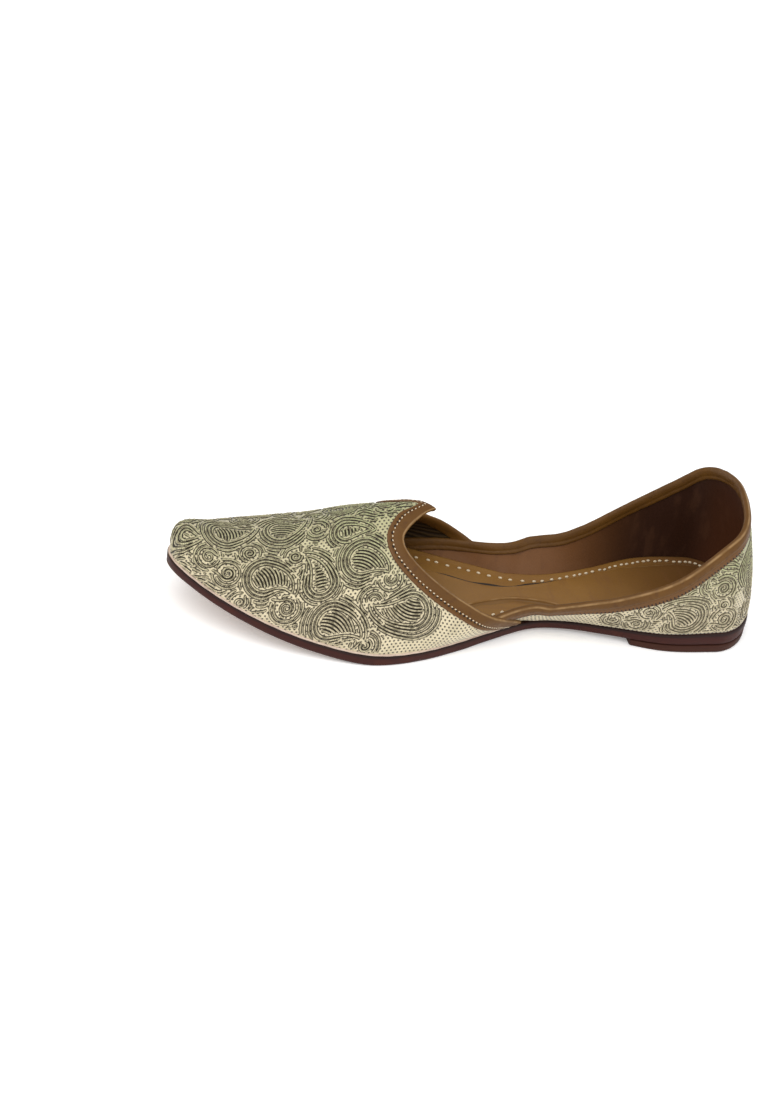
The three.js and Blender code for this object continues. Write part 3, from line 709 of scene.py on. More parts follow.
def lining_leather(place, flat):
    """Soft brown goat leather, darkened by painted shade towards the heel, lighter and redder at the
    very back
    """
    grain = place.cells(0.5, "SMOOTH_F1")
    creases = place.noise(6, 4, (1, 1, 3))
    tone = place.noise(20, 3)
    back = place.part(0)
    colour = tone.between((0.125, 0.048, 0.013), (0.175, 0.072, 0.020))
    # Painted shade: much darker from 45 mm behind the middle towards the heel, inside the quarter; at
    # the very back it turns lighter and redder again.
    colour = (back.rise(-0.045, -0.10) * 0.92).between(colour, (0.022, 0.0065, 0.004))
    colour = (back.rise(-0.118, -0.138) * 0.8).between(colour, (0.095, 0.030, 0.011))
    colour = (creases.rise(0.52, 0.7) * 0.3).between(colour, (0.09, 0.036, 0.015))
    return {"Base Color": colour, "Roughness": 0.42 + 0.2 * creases,
            "Height": grain * 0.05 + creases * 0.18}


layer(cloth_grid(200, 24, quarter_sheet(LINING_DEEP, 1.5)), LINING_THICKNESS, "quarter_lining",
      finish("lining_leather", lining_leather, Specular_IOR_Level=0.25), "insole_leather")

# Vamp -----------------------------------------------------------------------------------------
# One piece of brocade drawn over the last, lined with dark ribbed cloth; its top edge is cut in
# an M, with a point on the ridge and a deep curve on each side that runs down to the sole.
# Step along the edge from the point to the sole, share of the length, angle round the section
THROAT = np.array([(0, 0.578, 90), (1, 0.627, 76.7), (2, 0.637, 66.6), (3, 0.614, 53.0),
                   (4, 0.569, 38.5), (5, 0.515, 25.9), (6, 0.464, 14.9), (7, 0.438, 8.0),
                   (8, 0.416, 0)])


def throat(step):
    return along(THROAT, 1, step) * 2 * HALF_LENGTH - HALF_LENGTH, along(THROAT, 2, step)


# How far round the section from the ridge each angle lies, in mm, for places along the shoe
ROUND_STEP, GIRTH_STEP = 0.5, 0.25
ROUND_X = np.arange(-42.0, 142.4, ROUND_STEP)
ROUND_TURN = np.linspace(90, 0, 181)
grid_x, grid_turn = np.meshgrid(ROUND_X, ROUND_TURN, indexing="ij")
hops = np.linalg.norm(np.diff(vamp_face(grid_x, grid_turn), axis=1), axis=-1)
ROUND = np.concatenate([np.zeros((len(ROUND_X), 1)), np.cumsum(hops, axis=1)], axis=1)
TURNS = np.array([np.interp(np.arange(0, 90, GIRTH_STEP), row, ROUND_TURN) for row in ROUND])


def bilinear(table, i, j):
    """Reads a table between its rows and columns"""
    i, j = np.clip(i, 0, table.shape[0] - 1.001), np.clip(j, 0, table.shape[1] - 1.001)
    a, b = i.astype(int), j.astype(int)
    s, t = i - a, j - b
    return ((table[a, b] * (1 - t) + table[a, b + 1] * t) * (1 - s)
            + (table[a + 1, b] * (1 - t) + table[a + 1, b + 1] * t) * s)


def girth_at(x, turn):
    """Signed distance round from the ridge, positive on the left"""
    table_turn = np.where(turn > 90, 180 - turn, turn)
    found = bilinear(ROUND, (x - ROUND_X[0]) / ROUND_STEP, (90 - table_turn) * 2)
    return found * np.where(turn > 90, -1, 1)


def turn_at(x, girth):
    turn = bilinear(TURNS, (x - ROUND_X[0]) / ROUND_STEP, np.abs(girth) / GIRTH_STEP)
    return np.where(girth < 0, 180 - turn, turn)


VAMP_HEM = 1.0


def pulled(places, out, x):
    """The vamp's own unevenness; it dies away at the sole and the toe"""
    places[:, 2] += GAP
    free = smooth(0, 8, places[:, 2] - feather(x)) * smooth(HALF_LENGTH, HALF_LENGTH - 12, x)
    return places + out * (waves(places, *VAMP_RIPPLE) * free)[:, None]


def vamp_sheet(deep):
    def shape(u, v):
        start, turn = throat(np.abs(1 - 2 * u) * 8)
        start = start + VAMP_HEM
        x = start + (HALF_LENGTH - start) * (1 - np.cos(v * np.pi)) / 2
        side = np.where(u > 0.5, 180 - turn, turn)
        nose = (x > HALF_LENGTH - 0.02)[:, None]
        out = np.where(nose, (1.0, 0, 0), outward(vamp_face, np.minimum(x, HALF_LENGTH - 0.3), side))
        place = np.where(nose, (HALF_LENGTH, 0, feather(HALF_LENGTH)), vamp_face(x, side)) - out * deep
        return pulled(place, out, x), np.stack([x, girth_at(x, side)], -1) / 100
    return shape


layer(cloth_grid(200, 150, vamp_sheet(0.0)), CLOTH_THICKNESS, "vamp_brocade", brocade_finish,
      "brocade", "upper")


def ribbed_lining(place, flat):
    """Dark brown cloth with ribs that run along the shoe"""
    across = flat.part(1) * 100
    across = across + place.noise(12, 2) * 2.5
    rib = (across * 2.1).maths("SINE") * 0.5 + 0.5
    weave = place.noise(0.5, 3)
    colour = weave.between((0.038, 0.021, 0.008), (0.075, 0.045, 0.018))
    return {"Base Color": (rib.rise(0.2, 0.7) * 0.7).between(colour, (0.018, 0.011, 0.008)),
            "Height": (1 - rib) * 0.35 + weave * 0.1}


layer(cloth_grid(150, 90, vamp_sheet(LINING_DEEP)), LINING_THICKNESS, "vamp_lining",
      finish("ribbed_lining", ribbed_lining, 0.85, Specular_IOR_Level=0.1), "brocade")

# Throat binding -------------------------------------------------------------------------------
# A strip of tan leather folded over the vamp's edge and sewn down by a row of small stitches,
# each between two needle holes. Its fold is pale: partly wear, partly a painted highlight.
# Across the strip, from its cut edge outside, over the fold, to its cut edge inside: distance
# from the upper's edge, and depth behind the upper's face
THROAT_STRIP = np.array([
    (7.0, -0.10), (6.95, -0.50), (6.6, -0.70), (5.8, -0.78), (5.0, -0.74), (4.4, -0.58), (3.8, -0.72),
    (3.0, -0.78), (2.2, -0.78), (1.4, -0.76), (0.7, -0.68), (0.1, -0.50), (-0.45, -0.15), (-0.85, 0.3),
    (-1.0, 0.8), (-0.85, 1.3), (-0.4, 1.75), (0.2, 2.0), (0.8, 2.15), (1.6, 2.22), (2.6, 2.24),
    (3.8, 2.22), (4.7, 2.2), (4.95, 2.05), (5.0, 1.7)])
THROAT_STITCH_IN, THROAT_STITCH_PITCH = 4.4, 2.1
THROAT_STITCH = (1.05, 0.62, 0.30)


def strip_rows(face, u, v, heading, strip, stretch, laid):
    """A strip's profile laid square to the edge at each (u, v): places, in mm"""
    rows = []
    for distance, deep in strip:
        inward = np.maximum(distance, 0) * stretch
        a, b = walk(face, u, v, heading, inward)
        place = face(a, b) - outward(face, a, b) * (deep + laid)[:, None]
        rows.append(place + heading * min(distance, 0))
    return np.stack(rows, 1)


def throat_frame(step):
    """Where the throat's edge is, the way into the vamp from it, and how much its point is drawn out"""
    at, turn = throat(step)
    here = vamp_face(at, turn)
    ahead = vamp_face(*throat(np.maximum(step - 0.05, 0))) - here
    square = unit(np.cross(outward(vamp_face, at, turn), ahead))
    peak = (1 - smooth(0, 1.3, step))[:, None]
    square = np.where(step[:, None] < 1e-6, (1.0, 0, 0), square)
    heading = unit(square * (1 - peak) + np.array((1.0, 0, 0)) * peak)
    return at, turn, heading, 1 + 0.2 * peak[:, 0]


def throat_places(step, strip):
    at, turn, heading, stretch = throat_frame(step)
    places = strip_rows(vamp_face, at, turn, heading, strip, stretch, np.zeros(len(step)))
    places[..., 2] += GAP
    return places


def both_sides(left):
    """Rows of the left side that end on the ridge, and their mirror images"""
    left[-1, :, 1] = 0
    return np.concatenate([left, left[-2::-1] * (1, -1, 1)])


def run_length(places):
    return np.concatenate([[0], np.cumsum(np.linalg.norm(np.diff(places, axis=0), axis=1))])


def swept(rows, widths):
    """A strip's grid from its rows of places; its flat layout is length along and distance across"""
    count, across = rows.shape[0] - 1, rows.shape[1] - 1
    length = run_length(rows[:, across // 2])

    def shape(u, v):
        i, j = np.round(u * count).astype(int), np.round(v * across).astype(int)
        return rows[i, j], np.stack([length[i], widths[j]], -1) / 100
    return cloth_grid(count, across, shape)


def evenly(places, count):
    """Places to read a path at, so that they are an even distance apart"""
    run = run_length(places)
    return np.interp(np.linspace(0, run[-1], count), run, np.arange(len(places)))


def rumple(rows, depth, seed):
    """The small unevenness of leather pulled round a curve"""
    flat_rows = rows.reshape(-1, 3)
    shift = waves(flat_rows, 5.0, depth, seed)
    return (flat_rows + np.stack([shift * 0, shift * 0.3, shift], -1)).reshape(rows.shape)


fine = np.linspace(8.1, 0, 900)
even = evenly(vamp_face(*throat(fine)), 230)
throat_steps = np.interp(even, np.arange(900), fine)
throat_steps[-1] = 0.0
throat_rows = both_sides(rumple(throat_places(throat_steps, THROAT_STRIP), 0.05, 11))


def trimmed(bm, foot):
    """Cuts off what lies below the sole's top, at a height that follows it"""
    for vertex in bm.verts:
        low = float(feather(vertex.co.x / MM) + foot)
        if vertex.co.z / MM < low:
            vertex.co.z = low * MM
    bmesh.ops.dissolve_degenerate(bm, edges=bm.edges, dist=2e-5)
    return bm


def binding(stitch_in, pitch, hole, pale_from):
    """The look of a folded strip; hole is the length and width of a needle hole"""
    def build(place, flat):
        ahead = flat.part(0) * 100
        inward = flat.part(1) * 100
        near, off = ahead.from_middle(pitch), inward - stitch_in
        away = (near * near / hole[0] ** 2 + off * off / hole[1] ** 2).maths("SQRT")
        holes = 1 - away.rise(0.7, 1.2)
        grain = place.cells(0.55, "SMOOTH_F1")
        creases = place.noise(2.4, 4, (1, 1, 1))
        tone = place.noise(16, 4)
        colour = tone.between((0.075, 0.030, 0.004), (0.130, 0.056, 0.008))
        colour = (creases.rise(0.5, 0.72) * 0.4).between(colour, (0.065, 0.026, 0.008))
        lower = inward.rise(pale_from, pale_from + 0.8)
        colour = (lower * 0.5).between(colour, (0.140, 0.066, 0.026))
        # The pale band over the fold is partly wear and partly a painted highlight along the roll of
        # the fold.
        fold = inward.rise(-1.9, -1.1) * (1 - inward.rise(-0.9, -0.2))
        wear_and_highlight = fold * (0.45 + 0.55 * place.noise(6.0, 3).rise(0.35, 0.6))
        colour = (wear_and_highlight * 0.7).between(colour, (0.33, 0.20, 0.085))
        cut = inward.rise(6.75, 6.9) + (1 - inward.rise(-9.6, -9.4))
        colour = (cut * 0.7).between(colour, (0.060, 0.030, 0.016))
        return {"Base Color": (holes * 0.95).between(colour, (0.012, 0.007, 0.005)),
                "Roughness": 0.42 + 0.2 * creases - 0.08 * wear_and_highlight,
                "Height": grain * 0.06 + creases * 0.12 - holes * 0.35}
    return build


def widths_of(strip):
    """Distance across a strip from the fold: as given outside, and going below zero inside"""
    run = run_length(np.stack([strip[:, 0], strip[:, 1], 0 * strip[:, 0]], -1))
    return strip[0, 0] - run


THROAT_HOLE, COLLAR_HOLE = (0.50, 0.50), (0.34, 0.75)
throat_look = binding(THROAT_STITCH_IN, THROAT_STITCH_PITCH, THROAT_HOLE, 5.2)
throat_finish = finish("throat_leather", throat_look, Specular_IOR_Level=0.22)
STRIP_THICKNESS = 0.55
layer(trimmed(swept(throat_rows[::-1], widths_of(THROAT_STRIP)), 0.35), STRIP_THICKNESS,
      "throat_binding_leather", throat_finish, "binding_leather", "throat_binding")

stitch_line = throat_rows[:, 5]
run = run_length(stitch_line)
stitch_mid = np.arange(2 * THROAT_STITCH_PITCH, run[-1] - 2 * THROAT_STITCH_PITCH, THROAT_STITCH_PITCH)
spots, onward = (np.stack([np.interp(at, run, stitch_line[:, k]) for k in range(3)], -1)
                 for at in (stitch_mid, stitch_mid + 0.4))
ahead = unit(onward - spots)
across = throat_rows[:, 6] - throat_rows[:, 4]
normal = np.cross(np.gradient(stitch_line, axis=0), across)
normal = unit(np.stack([np.interp(stitch_mid, run, normal[:, k]) for k in range(3)], -1))
normal *= np.sign(np.sum(normal * (spots - (20, 0, 10)), -1, keepdims=True))
tilt = np.cross(normal, ahead)
stitch_row("throat_stitches", thread_finish, "binding_leather", spots + normal * 0.06,
           ahead + tilt * 0.25, normal, THROAT_STITCH)

# Collar binding -------------------------------------------------------------------------------
# The same leather folded over the quarter's edge: a full roll above, a flat hem below it sewn
# with slanting dark stitches. It runs on inside the vamp.
COLLAR_STRIP = np.array([
    (7.6, -0.10), (7.55, -0.50), (7.2, -0.68), (6.4, -0.70), (5.6, -0.66), (4.9, -0.64), (4.3, -0.62),
    (3.95, -0.66), (3.7, -0.98), (3.1, -1.12), (2.2, -1.12), (1.4, -1.02), (0.7, -0.85), (0.1, -0.60),
    (-0.45, -0.2), (-0.85, 0.3), (-1.0, 0.8), (-0.85, 1.3), (-0.4, 1.75), (0.2, 2.05), (0.9, 2.22),
    (1.8, 2.3), (2.7, 2.28), (3.1, 2.12), (3.5, 2.28), (4.4, 2.32), (4.9, 2.28), (5.1, 2.1),
    (5.15, 1.7)])
COLLAR_STITCH_IN, COLLAR_STITCH_PITCH = 6.3, 1.75
COLLAR_FRONT = 37.0

fine = np.linspace(length_to(COLLAR_FRONT), 0, 1200)


def collar_edge(length):
    return quarter_face(length, top_edge(foot_point(length)[0]))


even = evenly(collar_edge(fine), 260)
lengths = np.interp(even, np.arange(1200), fine)
x = foot_point(lengths)[0]
ahead = collar_edge(lengths + 0.5) - collar_edge(np.maximum(lengths - 0.5, -FOOT_END))
heading = np.cross(outward(quarter_face, lengths, top_edge(x)), ahead)
heading = unit(heading) * -np.sign(heading[:, 2:3])
collar_left = strip_rows(quarter_face, lengths, top_edge(x), heading, COLLAR_STRIP,
                         np.ones(len(lengths)), LAP * under(x))
outs = outward(quarter_face, lengths, top_edge(x))[:, None, :]
heel_folds = waves(collar_left.reshape(-1, 3), 4.2, 1.0, 21).reshape(collar_left.shape[:2])
inside = np.clip((COLLAR_STRIP[:, 1] - 1.5) / 1.5, 0, 1)[None, :]
near_heel = 1 - smooth(0, 26, lengths)[:, None]
collar_left += outs * (heel_folds * inside * (0.08 + 0.22 * near_heel))[..., None]
collar_rows = both_sides(rumple(collar_left, 0.05, 12))
collar_look = binding(COLLAR_STITCH_IN, COLLAR_STITCH_PITCH, COLLAR_HOLE, 3.7)
collar_finish = finish("collar_leather", collar_look, Specular_IOR_Level=0.22)
layer(trimmed(swept(collar_rows, widths_of(COLLAR_STRIP)), 0.5), STRIP_THICKNESS,
      "collar_binding_leather", collar_finish, "binding_leather", "collar_binding")

# Welt line ------------------------------------------------------------------------------------
# The pale raw edge of the vamp's cloth, turned out and pressed between the upper and the sole.
WELT_RADIUS = 0.55


def welt_shape(u, v):
    front = length_to(-24.0)
    length = front + (2 * FOOT_END - 2 * front) * u
    length = np.where(length > FOOT_END, length - 2 * FOOT_END, length)
    x, y, nx, ny = foot_edge(length)
    angle = v * 2 * np.pi
    ends = np.clip(np.minimum(u, 1 - u) * 160, 0.15, 1) ** 0.5
    out = 0.1 + WELT_RADIUS * np.cos(angle) * ends * (1 + 0.15 * np.sin(length / 1.3))
    z = feather(x) + 0.35 + WELT_RADIUS * np.sin(angle) * ends
    return points(x + nx * out, y + ny * out, z), np.stack([u * 4, v], -1)


def raw_cloth(place, flat):
    blotch = place.noise(6, 4)
    colour = blotch.between((0.40, 0.27, 0.21), (0.68, 0.57, 0.46))
    soiled = place.noise(1.0, 3).rise(0.5, 0.75) * 0.5
    return {"Base Color": soiled.between(colour, (0.20, 0.12, 0.09)),
            "Height": place.noise(0.5, 3) * 0.2}


welt = cloth_grid(420, 8, welt_shape)
bmesh.ops.remove_doubles(welt, verts=welt.verts, dist=1e-6)
bmesh.ops.holes_fill(welt, edges=welt.edges, sides=12)
bmesh.ops.recalc_face_normals(welt, faces=welt.faces)
piece(welt, "vamp_welt", finish("raw_cloth", raw_cloth, 0.8), "brocade")

# Embroidery -----------------------------------------------------------------------------------
# Couched cords of silver and gold thread over dark thread: paisleys outlined two or three times
# and filled with curved rows, spirals, and ripples that echo them. Worked on the cloth before
# the shoe was lasted, so it lies in the cloth's flat layout, in mm; it bears no lettering.
CORD_PITCH, CORD_WIDTH, CORD_HEIGHT, CORD_STEP = 1.62, 1.62, 0.50, 0.6
CELL = 0.25
# Across a cord: share of its width from the middle, share of its height
CORD_SECTION = np.array([(-0.5, -0.10), (-0.26, 0.55), (0.0, 1.0), (0.26, 0.55), (0.5, -0.10)])


def stretches(mask):
    """Start and end of each run of True"""
    change = np.diff(np.concatenate([[False], mask, [False]]).astype(int))
    return zip(np.flatnonzero(change == 1), np.flatnonzero(change == -1))


class Ground:
    """The cloth's flat layout, with the places that cords already take"""

    def __init__(self, low, high):
        self.low = np.array(low, float)
        self.taken = np.zeros(np.ceil((np.array(high) - low) / CELL).astype(int), bool)
        self.runs = []

    def index(self, path):
        return np.clip(((path - self.low) / CELL).astype(int), 1, np.array(self.taken.shape) - 2)

    def free(self, path):
        high = self.low + np.array(self.taken.shape) * CELL
        inside = np.all((path > self.low + 0.5) & (path < high - 0.5), axis=1)
        i, j = self.index(path).T
        return inside & ~self.taken[i, j]

    def keep_clear(self, path, reach):
        cells = int(np.ceil(reach / CELL))
        i, j = self.index(path).T
        for a in range(-cells, cells + 1):
            for b in range(-cells, cells + 1):
                if np.hypot(a, b) * CELL <= reach:
                    self.taken[np.clip(i + a, 0, self.taken.shape[0] - 1),
                               np.clip(j + b, 0, self.taken.shape[1] - 1)] = True

    def lay(self, path, least=2.2, clear=1.12):
        """Lays a cord on the parts of a path that are free, and are at least so long"""
        run = run_length(path)
        if run[-1] < least:
            return
        even = np.linspace(0, run[-1], int(run[-1] / CORD_STEP) + 2)
        path = np.stack([np.interp(even, run, path[:, k]) for k in range(2)], -1)
        for start, end in stretches(self.free(path)):
            if (end - start) * CORD_STEP >= least:
                self.runs.append(path[start:end])
                self.keep_clear(path[start:end], clear)


def spine(length, bend, count=60):
    """A path that starts straight and bends more and more: places and headings"""
    s = np.linspace(0, 1, count)
    heading = bend * s ** 1.6
    steps = np.stack([np.cos(heading), np.sin(heading)], -1) * length / (count - 1)
    return s, np.concatenate([[(0, 0)], np.cumsum(steps[1:], axis=0)]), heading


def set_down(path, centre, turn):
    c, n = np.cos(turn), np.sin(turn)
    return path @ np.array([(c, n), (-n, c)]) + centre


def paisley_outline(radius, length, bend, grow):
    """Round head, and a body that narrows and bends to its tip; grow moves the line outward"""
    s, middle, heading = spine(length + grow * 0.7, bend)
    half = (radius + grow) * (1 - s ** 1.25) ** 0.85
    side = np.stack([-np.sin(heading), np.cos(heading)], -1)
    arc = np.linspace(np.pi / 2, 3 * np.pi / 2, 40)[1:-1]
    head = (radius + grow) * np.stack([np.cos(arc), np.sin(arc)], -1)
    return np.concatenate([(middle + side * half[:, None])[::-1], head, middle - side * half[:, None]])


def paisley_rows(radius, length, bend, slant):
    """The rows that fill a paisley: bowed lines side by side, cut to lie inside its outline"""
    s, middle, heading = spine(length, bend)
    half = radius * (1 - s ** 1.25) ** 0.85
    reach = radius + length
    across = np.linspace(-reach, reach, int(reach * 2 / 0.3))
    for at in np.arange(-reach, reach, CORD_PITCH * 0.93):
        row = np.stack([at - 0.045 * across**2, across], -1)
        row = row @ np.array([(np.cos(slant), np.sin(slant)), (-np.sin(slant), np.cos(slant))])
        away = np.linalg.norm(row[:, None] - middle, axis=-1) - half
        for start, end in stretches(away.min(1) < -CORD_PITCH * 0.62):
            if end - start > 5:
                yield row[start:end]


def spiral(radius, hand, turns=2.3, arm=0.0):
    """Winds out from its eye, and leaves along an arm"""
    angle = np.linspace(0.5, turns * 2 * np.pi, 90)
    reach = radius * (angle / angle[-1]) ** 0.9
    path = np.stack([np.cos(angle - angle[-1]) * reach, np.sin(angle - angle[-1]) * reach], -1)
    leave = np.linspace(0, 1, 20)[1:, None]
    away = np.array((radius, 0)) + leave * (0, arm) + leave**2 * (arm * 0.35, 0)
    return np.concatenate([path, away]) * (1, hand) if arm else path * (1, hand)


def both_halves(paisleys, spirals, plain, flip, straight):
    """A chart and its mirror image. flip is (1, -1) across the ridge and (-1, 1) across the heel's
    middle, and straight is the heading that the mirror leaves alone"""
    halves = ((1, 1, 1), (*flip, -1))
    return ([(x * a, y * b, radius, length, straight + s * (turn - straight), bend * s, slant * s,
              outlines)
             for a, b, s in halves for x, y, radius, length, turn, bend, slant, outlines in paisleys
             if s == 1 or (x * a, y * b) != (x, y)],
            [(x * a, y * b, radius, straight + s * (turn - straight), hand * s, arm)
             for a, b, s in halves for x, y, radius, turn, hand, arm in spirals],
            [(x * a, y * b, radius) for a, b, s in halves for x, y, radius in plain])


ECHOES = 2


def embroider(ground, paisleys, spirals, plain, first=()):
    """Lays the motifs of a chart in order of weight, then echoes round them and ripples between
    them, but for the places that stay plain, given as middle and radius"""
    paisleys = [*first, *paisleys]
    for x, y, radius, length, turn, bend, slant, outlines in paisleys:
        turn, bend, slant = np.radians((turn, bend, slant))
        for k in range(outlines):
            ground.lay(set_down(paisley_outline(radius, length, bend, k * CORD_PITCH), (x, y), turn))
        for row in paisley_rows(radius, length, bend, slant):
            ground.lay(set_down(row, (x, y), turn), 1.2, 0.95)
    for x, y, radius, turn, hand, arm in spirals:
        ground.lay(set_down(spiral(radius, hand, 2.3 if radius > 3 else 1.6, arm), (x, y),
                            np.radians(turn)), 1.6, 1.05)
    for k in range(1, ECHOES + 1):
        for x, y, radius, turn, hand, arm in spirals:
            ring = np.linspace(0, 2 * np.pi, 60)
            reach = radius + k * CORD_PITCH * 1.05
            ground.lay(np.stack([x + reach * np.cos(ring), y + reach * np.sin(ring)], -1), 3.0)
        for x, y, radius, length, turn, bend, slant, outlines in paisleys:
            grow = (outlines - 1 + k) * CORD_PITCH * 1.05
            ground.lay(set_down(paisley_outline(radius, length, np.radians(bend), grow), (x, y),
                                np.radians(turn)), 3.0)
    for x, y, radius in plain:
        reach = np.arange(-radius, radius, CELL)
        spot = np.stack(np.meshgrid(reach, reach), -1).reshape(-1, 2)
        ground.keep_clear(spot[np.hypot(*spot.T) < radius] + (x, y), 0.3)
    high = ground.low + np.array(ground.taken.shape) * CELL
    for at in np.arange(ground.low[1], high[1], CORD_PITCH * 0.9):
        along_way = np.arange(ground.low[0], high[0], 0.4)
        ripple = 2.6 * np.sin(along_way / 5.2 + at / 9) + 1.1 * np.sin(along_way / 2.3 - at / 4)
        ground.lay(np.stack([along_way, at + ripple], -1), 1.6, 1.05)


def cords(name, runs, place_at, ends=0.7):
    """All the runs as one piece of low rounded strips; place_at gives places and outward ways"""
    bm = bmesh.new()
    bm.loops.layers.uv.new("flat")
    across = len(CORD_SECTION) - 1
    for k, run in enumerate(runs):
        bmesh.ops.create_grid(bm, x_segments=len(run) - 1, y_segments=across, size=0.5,
                              matrix=Matrix.Translation((0, 0, k)))
    bm.verts.index_update()
    corner = np.array([v.co[:] for v in bm.verts])
    counts = np.array([len(run) for run in runs])
    first = np.concatenate([[0], np.cumsum(counts)])[:-1]
    which = np.round(corner[:, 2]).astype(int)
    step = np.round((corner[:, 0] + 0.5) * (counts[which] - 1)).astype(int)
    row = np.round((corner[:, 1] + 0.5) * across).astype(int)
    spots, ways, lengths, taper = [], [], [], []
    for run in runs:
        way = np.gradient(run, axis=0)
        way /= np.maximum(np.hypot(*way.T), 1e-9)[:, None]
        length = run_length(run)
        spots.append(run)
        ways.append(way)
        lengths.append(length)
        taper.append(np.clip(np.minimum(length, length[-1] - length) / ends, 0.12, 1) ** 0.5)
    spots, ways, lengths, taper = (np.concatenate(a) for a in (spots, ways, lengths, taper))
    k = first[which] + step
    side = np.stack([-ways[k, 1], ways[k, 0]], -1)
    flat_place = spots[k] + side * (CORD_SECTION[row, 0] * CORD_WIDTH * taper[k])[:, None]
    places, out = place_at(flat_place)
    lumps = 1 + 0.16 * np.sin(lengths[k] * 2 * np.pi / 1.9 + which)
    places = places + out * (CORD_SECTION[row, 1] * CORD_HEIGHT * taper[k] * lumps)[:, None]
    move(bm, places, np.stack([lengths[k] / 100, row / across], -1))
    piece(bm, name, cord_finish, "brocade")


def cord_look(place, flat):
    """Twisted metal thread, bright on top where it is rubbed; its dark edges are partly ground stitches
    and partly painted shade between the cords
    """
    ahead = flat.part(0) * 100
    across = flat.part(1)
    off = (across - 0.5).maths("ABSOLUTE")
    twist = ((ahead + across * 0.9) * 8.4).maths("SINE") * 0.5 + 0.5
    patches = place.noise(2.0, 3)
    height = place.part(2)
    # Greener and duller higher up the shoe, as on the cloth: partly the thread's tone, partly painted
    # shading of how the light falls.
    bright = height.rise(0.018, 0.058).between((0.80, 0.70, 0.48), (0.60, 0.64, 0.34))
    dull = twist.between((0.16, 0.135, 0.080), (0.34, 0.30, 0.19))
    thread_colour = (patches.rise(0.32, 0.62) * (0.35 + 0.65 * twist)).between(dull, bright)
    # Each cord's edges are darkened: partly the dark ground stitches, partly painted shade in the gaps
    # between cords.
    edge = off.rise(0.15, 0.27)
    back = place.part(0).rise(-0.03, -0.06)
    gap = back.between((0.013, 0.009, 0.003), (0.060, 0.046, 0.024))
    return {"Base Color": edge.between(thread_colour, gap),
            "Metallic": 0.35 * (1 - edge), "Roughness": 0.42 + 0.2 * patches,
            "Height": twist * 0.22 * (1 - edge) + patches * 0.1}


cord_finish = finish("metal_thread", cord_look, Specular_IOR_Level=0.3)

# The vamp's chart, from toe ridge outward: place along the shoe, place round from the ridge,
# head radius, body length, heading of the tail, bend of the tail, slant of the rows, outlines
RIDGE_PAISLEYS = [(118, 1.5, 6.2, 14, 184, 30, 10, 3), (92.5, 1.5, 6.4, 13, 188, 36, 70, 3)]
SIDE_PAISLEYS = [(57, 25.6, 7.0, 14, 165, -50, 80, 3), (35, 51.8, 6.6, 19, 6, -48, 70, 3),
                 (76.5, 33.5, 4.7, 16, 275, 48, 0, 3), (101.5, 27.6, 6.6, 16, 176, -85, 30, 3),
                 (72, 52.6, 6.6, 17, 166, -52, 75, 3), (64, 10.6, 3.9, 11, 184, -22, 0, 2),
                 (136, 6.4, 2.6, 5, 170, 20, 60, 2)]
SIDE_SPIRALS = [(45, 36.4, 3.9, 300, 1, 5), (53, 45.8, 4.1, 200, -1, 6), (87.5, 18.8, 3.2, 200, 1, 5),
                (89, 25.4, 1.9, 90, -1, 0), (92, 42.8, 4.0, 280, 1, 6), (118, 24.3, 3.6, 30, -1, 5),
                (107.8, 14.2, 3.1, 60, 1, 3), (126.5, 16.4, 3.0, 220, -1, 3),
                (56.3, 65.8, 3.4, 330, 1, 4),
                (112.5, 37.9, 2.6, 200, 1, 3), (77, 5.6, 2.4, 120, 1, 3)]
# Where the cloth shows its own dots: place along, place round, radius
VAMP_PLAIN = [(28, 70, 12), (13, 60, 14), (44, 70, 8), (-4, 58, 20), (73.5, 14.9, 3.4), (97, 13.2, 4.2),
              (116.5, 14.6, 3.4), (63.8, 38.5, 4.0), (84, 57, 4), (99, 46.8, 3.5), (53, 14, 4.5),
              (47, 12, 5.5), (82.5, 11.5, 2.5), (110, 33, 2.2), (44, 24, 2.5), (66, 64, 2.5)]
ground = Ground((-40, -92), (143, 92))
for side in (1, -1):
    for into in np.arange(0, 7.6, 0.5):
        step = np.linspace(0.0, 8, 200)
        at, turn, heading, stretch = throat_frame(step)
        at, turn = walk(vamp_face, at, turn, heading, into * stretch)
        ground.keep_clear(np.stack([at, side * girth_at(at, turn)], -1), 0.5)
    along_foot = np.arange(-40, 143, CELL)
    foot = np.interp(along_foot, ROUND_X, ROUND[:, -1])
    for out in np.arange(-0.8, 60, CELL):
        ground.keep_clear(np.stack([along_foot, side * (foot + out)], -1), 0.3)
spot_x, spot_y = np.meshgrid(np.arange(-40, 50, CELL), np.arange(-92, 92, CELL))
spot_turn = 90 - np.abs(90 - turn_at(spot_x, spot_y))
edge_turns = throat(np.linspace(0, 8, 200))
opening = spot_x < np.interp(spot_turn, edge_turns[1][::-1], edge_turns[0][::-1]) + 1
ground.keep_clear(np.stack([spot_x[opening], spot_y[opening]], -1), 0.3)
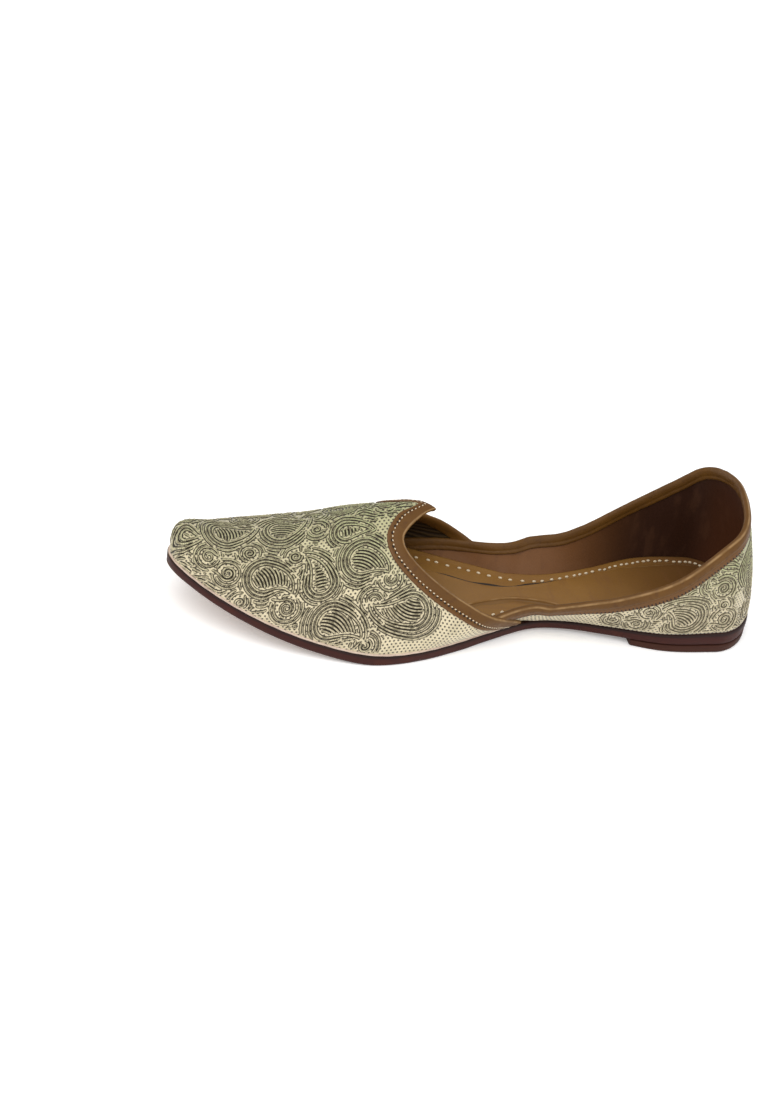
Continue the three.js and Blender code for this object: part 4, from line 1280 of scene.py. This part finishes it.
embroider(ground, *both_halves(SIDE_PAISLEYS, SIDE_SPIRALS, VAMP_PLAIN, (1, -1), 0), RIDGE_PAISLEYS)


def on_vamp(flat_place):
    x = np.clip(flat_place[:, 0], -41, HALF_LENGTH - 0.4)
    turn = turn_at(x, flat_place[:, 1])
    out = outward(vamp_face, x, turn)
    return pulled(vamp_face(x, turn), out, x), out


left_runs = [run for run in ground.runs if run[:, 1].mean() > 0]
right_runs = [run for run in ground.runs if run[:, 1].mean() <= 0]
cords("vamp_embroidery_left", left_runs, on_vamp)
cords("vamp_embroidery_right", right_runs, on_vamp)

# The quarter's chart, by distance from the back of the heel and height above the sole
QUARTER_PAISLEYS = [(62, 11.5, 6.6, 12, 48, -60, 80, 3), (24, 33, 6.0, 16, 262, 40, 0, 3),
                    (0, 10, 5.4, 12, 90, 40, 0, 3)]
QUARTER_SPIRALS = [(80, 15.2, 3.0, 200, 1, 4), (84.5, 6.5, 2.8, 60, -1, 4), (41.5, 8.5, 4.0, 300, 1, 5),
                   (45, 27, 3.8, 60, -1, 5), (43, 17, 2.4, 0, 1, 3), (22, 10, 4.2, 120, -1, 4),
                   (9, 38, 3.4, 90, 1, 4), (96, 7.5, 2.0, 20, 1, 3), (53, 29, 2.0, 20, 1, 3)]
QUARTER_PLAIN = [(115, 6, 14), (90, 15, 5), (72, 19, 3.5), (73, 6, 2.5), (33, 18, 5), (53, 22, 4),
                 (90, 11, 3), (30, 47, 5), (12, 24, 4), (101, 8, 8)]
heel_ground = Ground((-122, 0.8), (122, 66))
for length in np.arange(-122, 122, CELL):
    edge_height = top_edge(foot_point(np.array([length]))[0])[0]
    up = np.arange(edge_height - 8.2, 66, CELL)
    heel_ground.keep_clear(np.stack([0 * up + length, up], -1), 0.3)
embroider(heel_ground, *both_halves(QUARTER_PAISLEYS, QUARTER_SPIRALS, QUARTER_PLAIN, (-1, 1), 90))
cords("quarter_embroidery", heel_ground.runs, lambda spots: quarter_skin(*spots.T, 0.0))
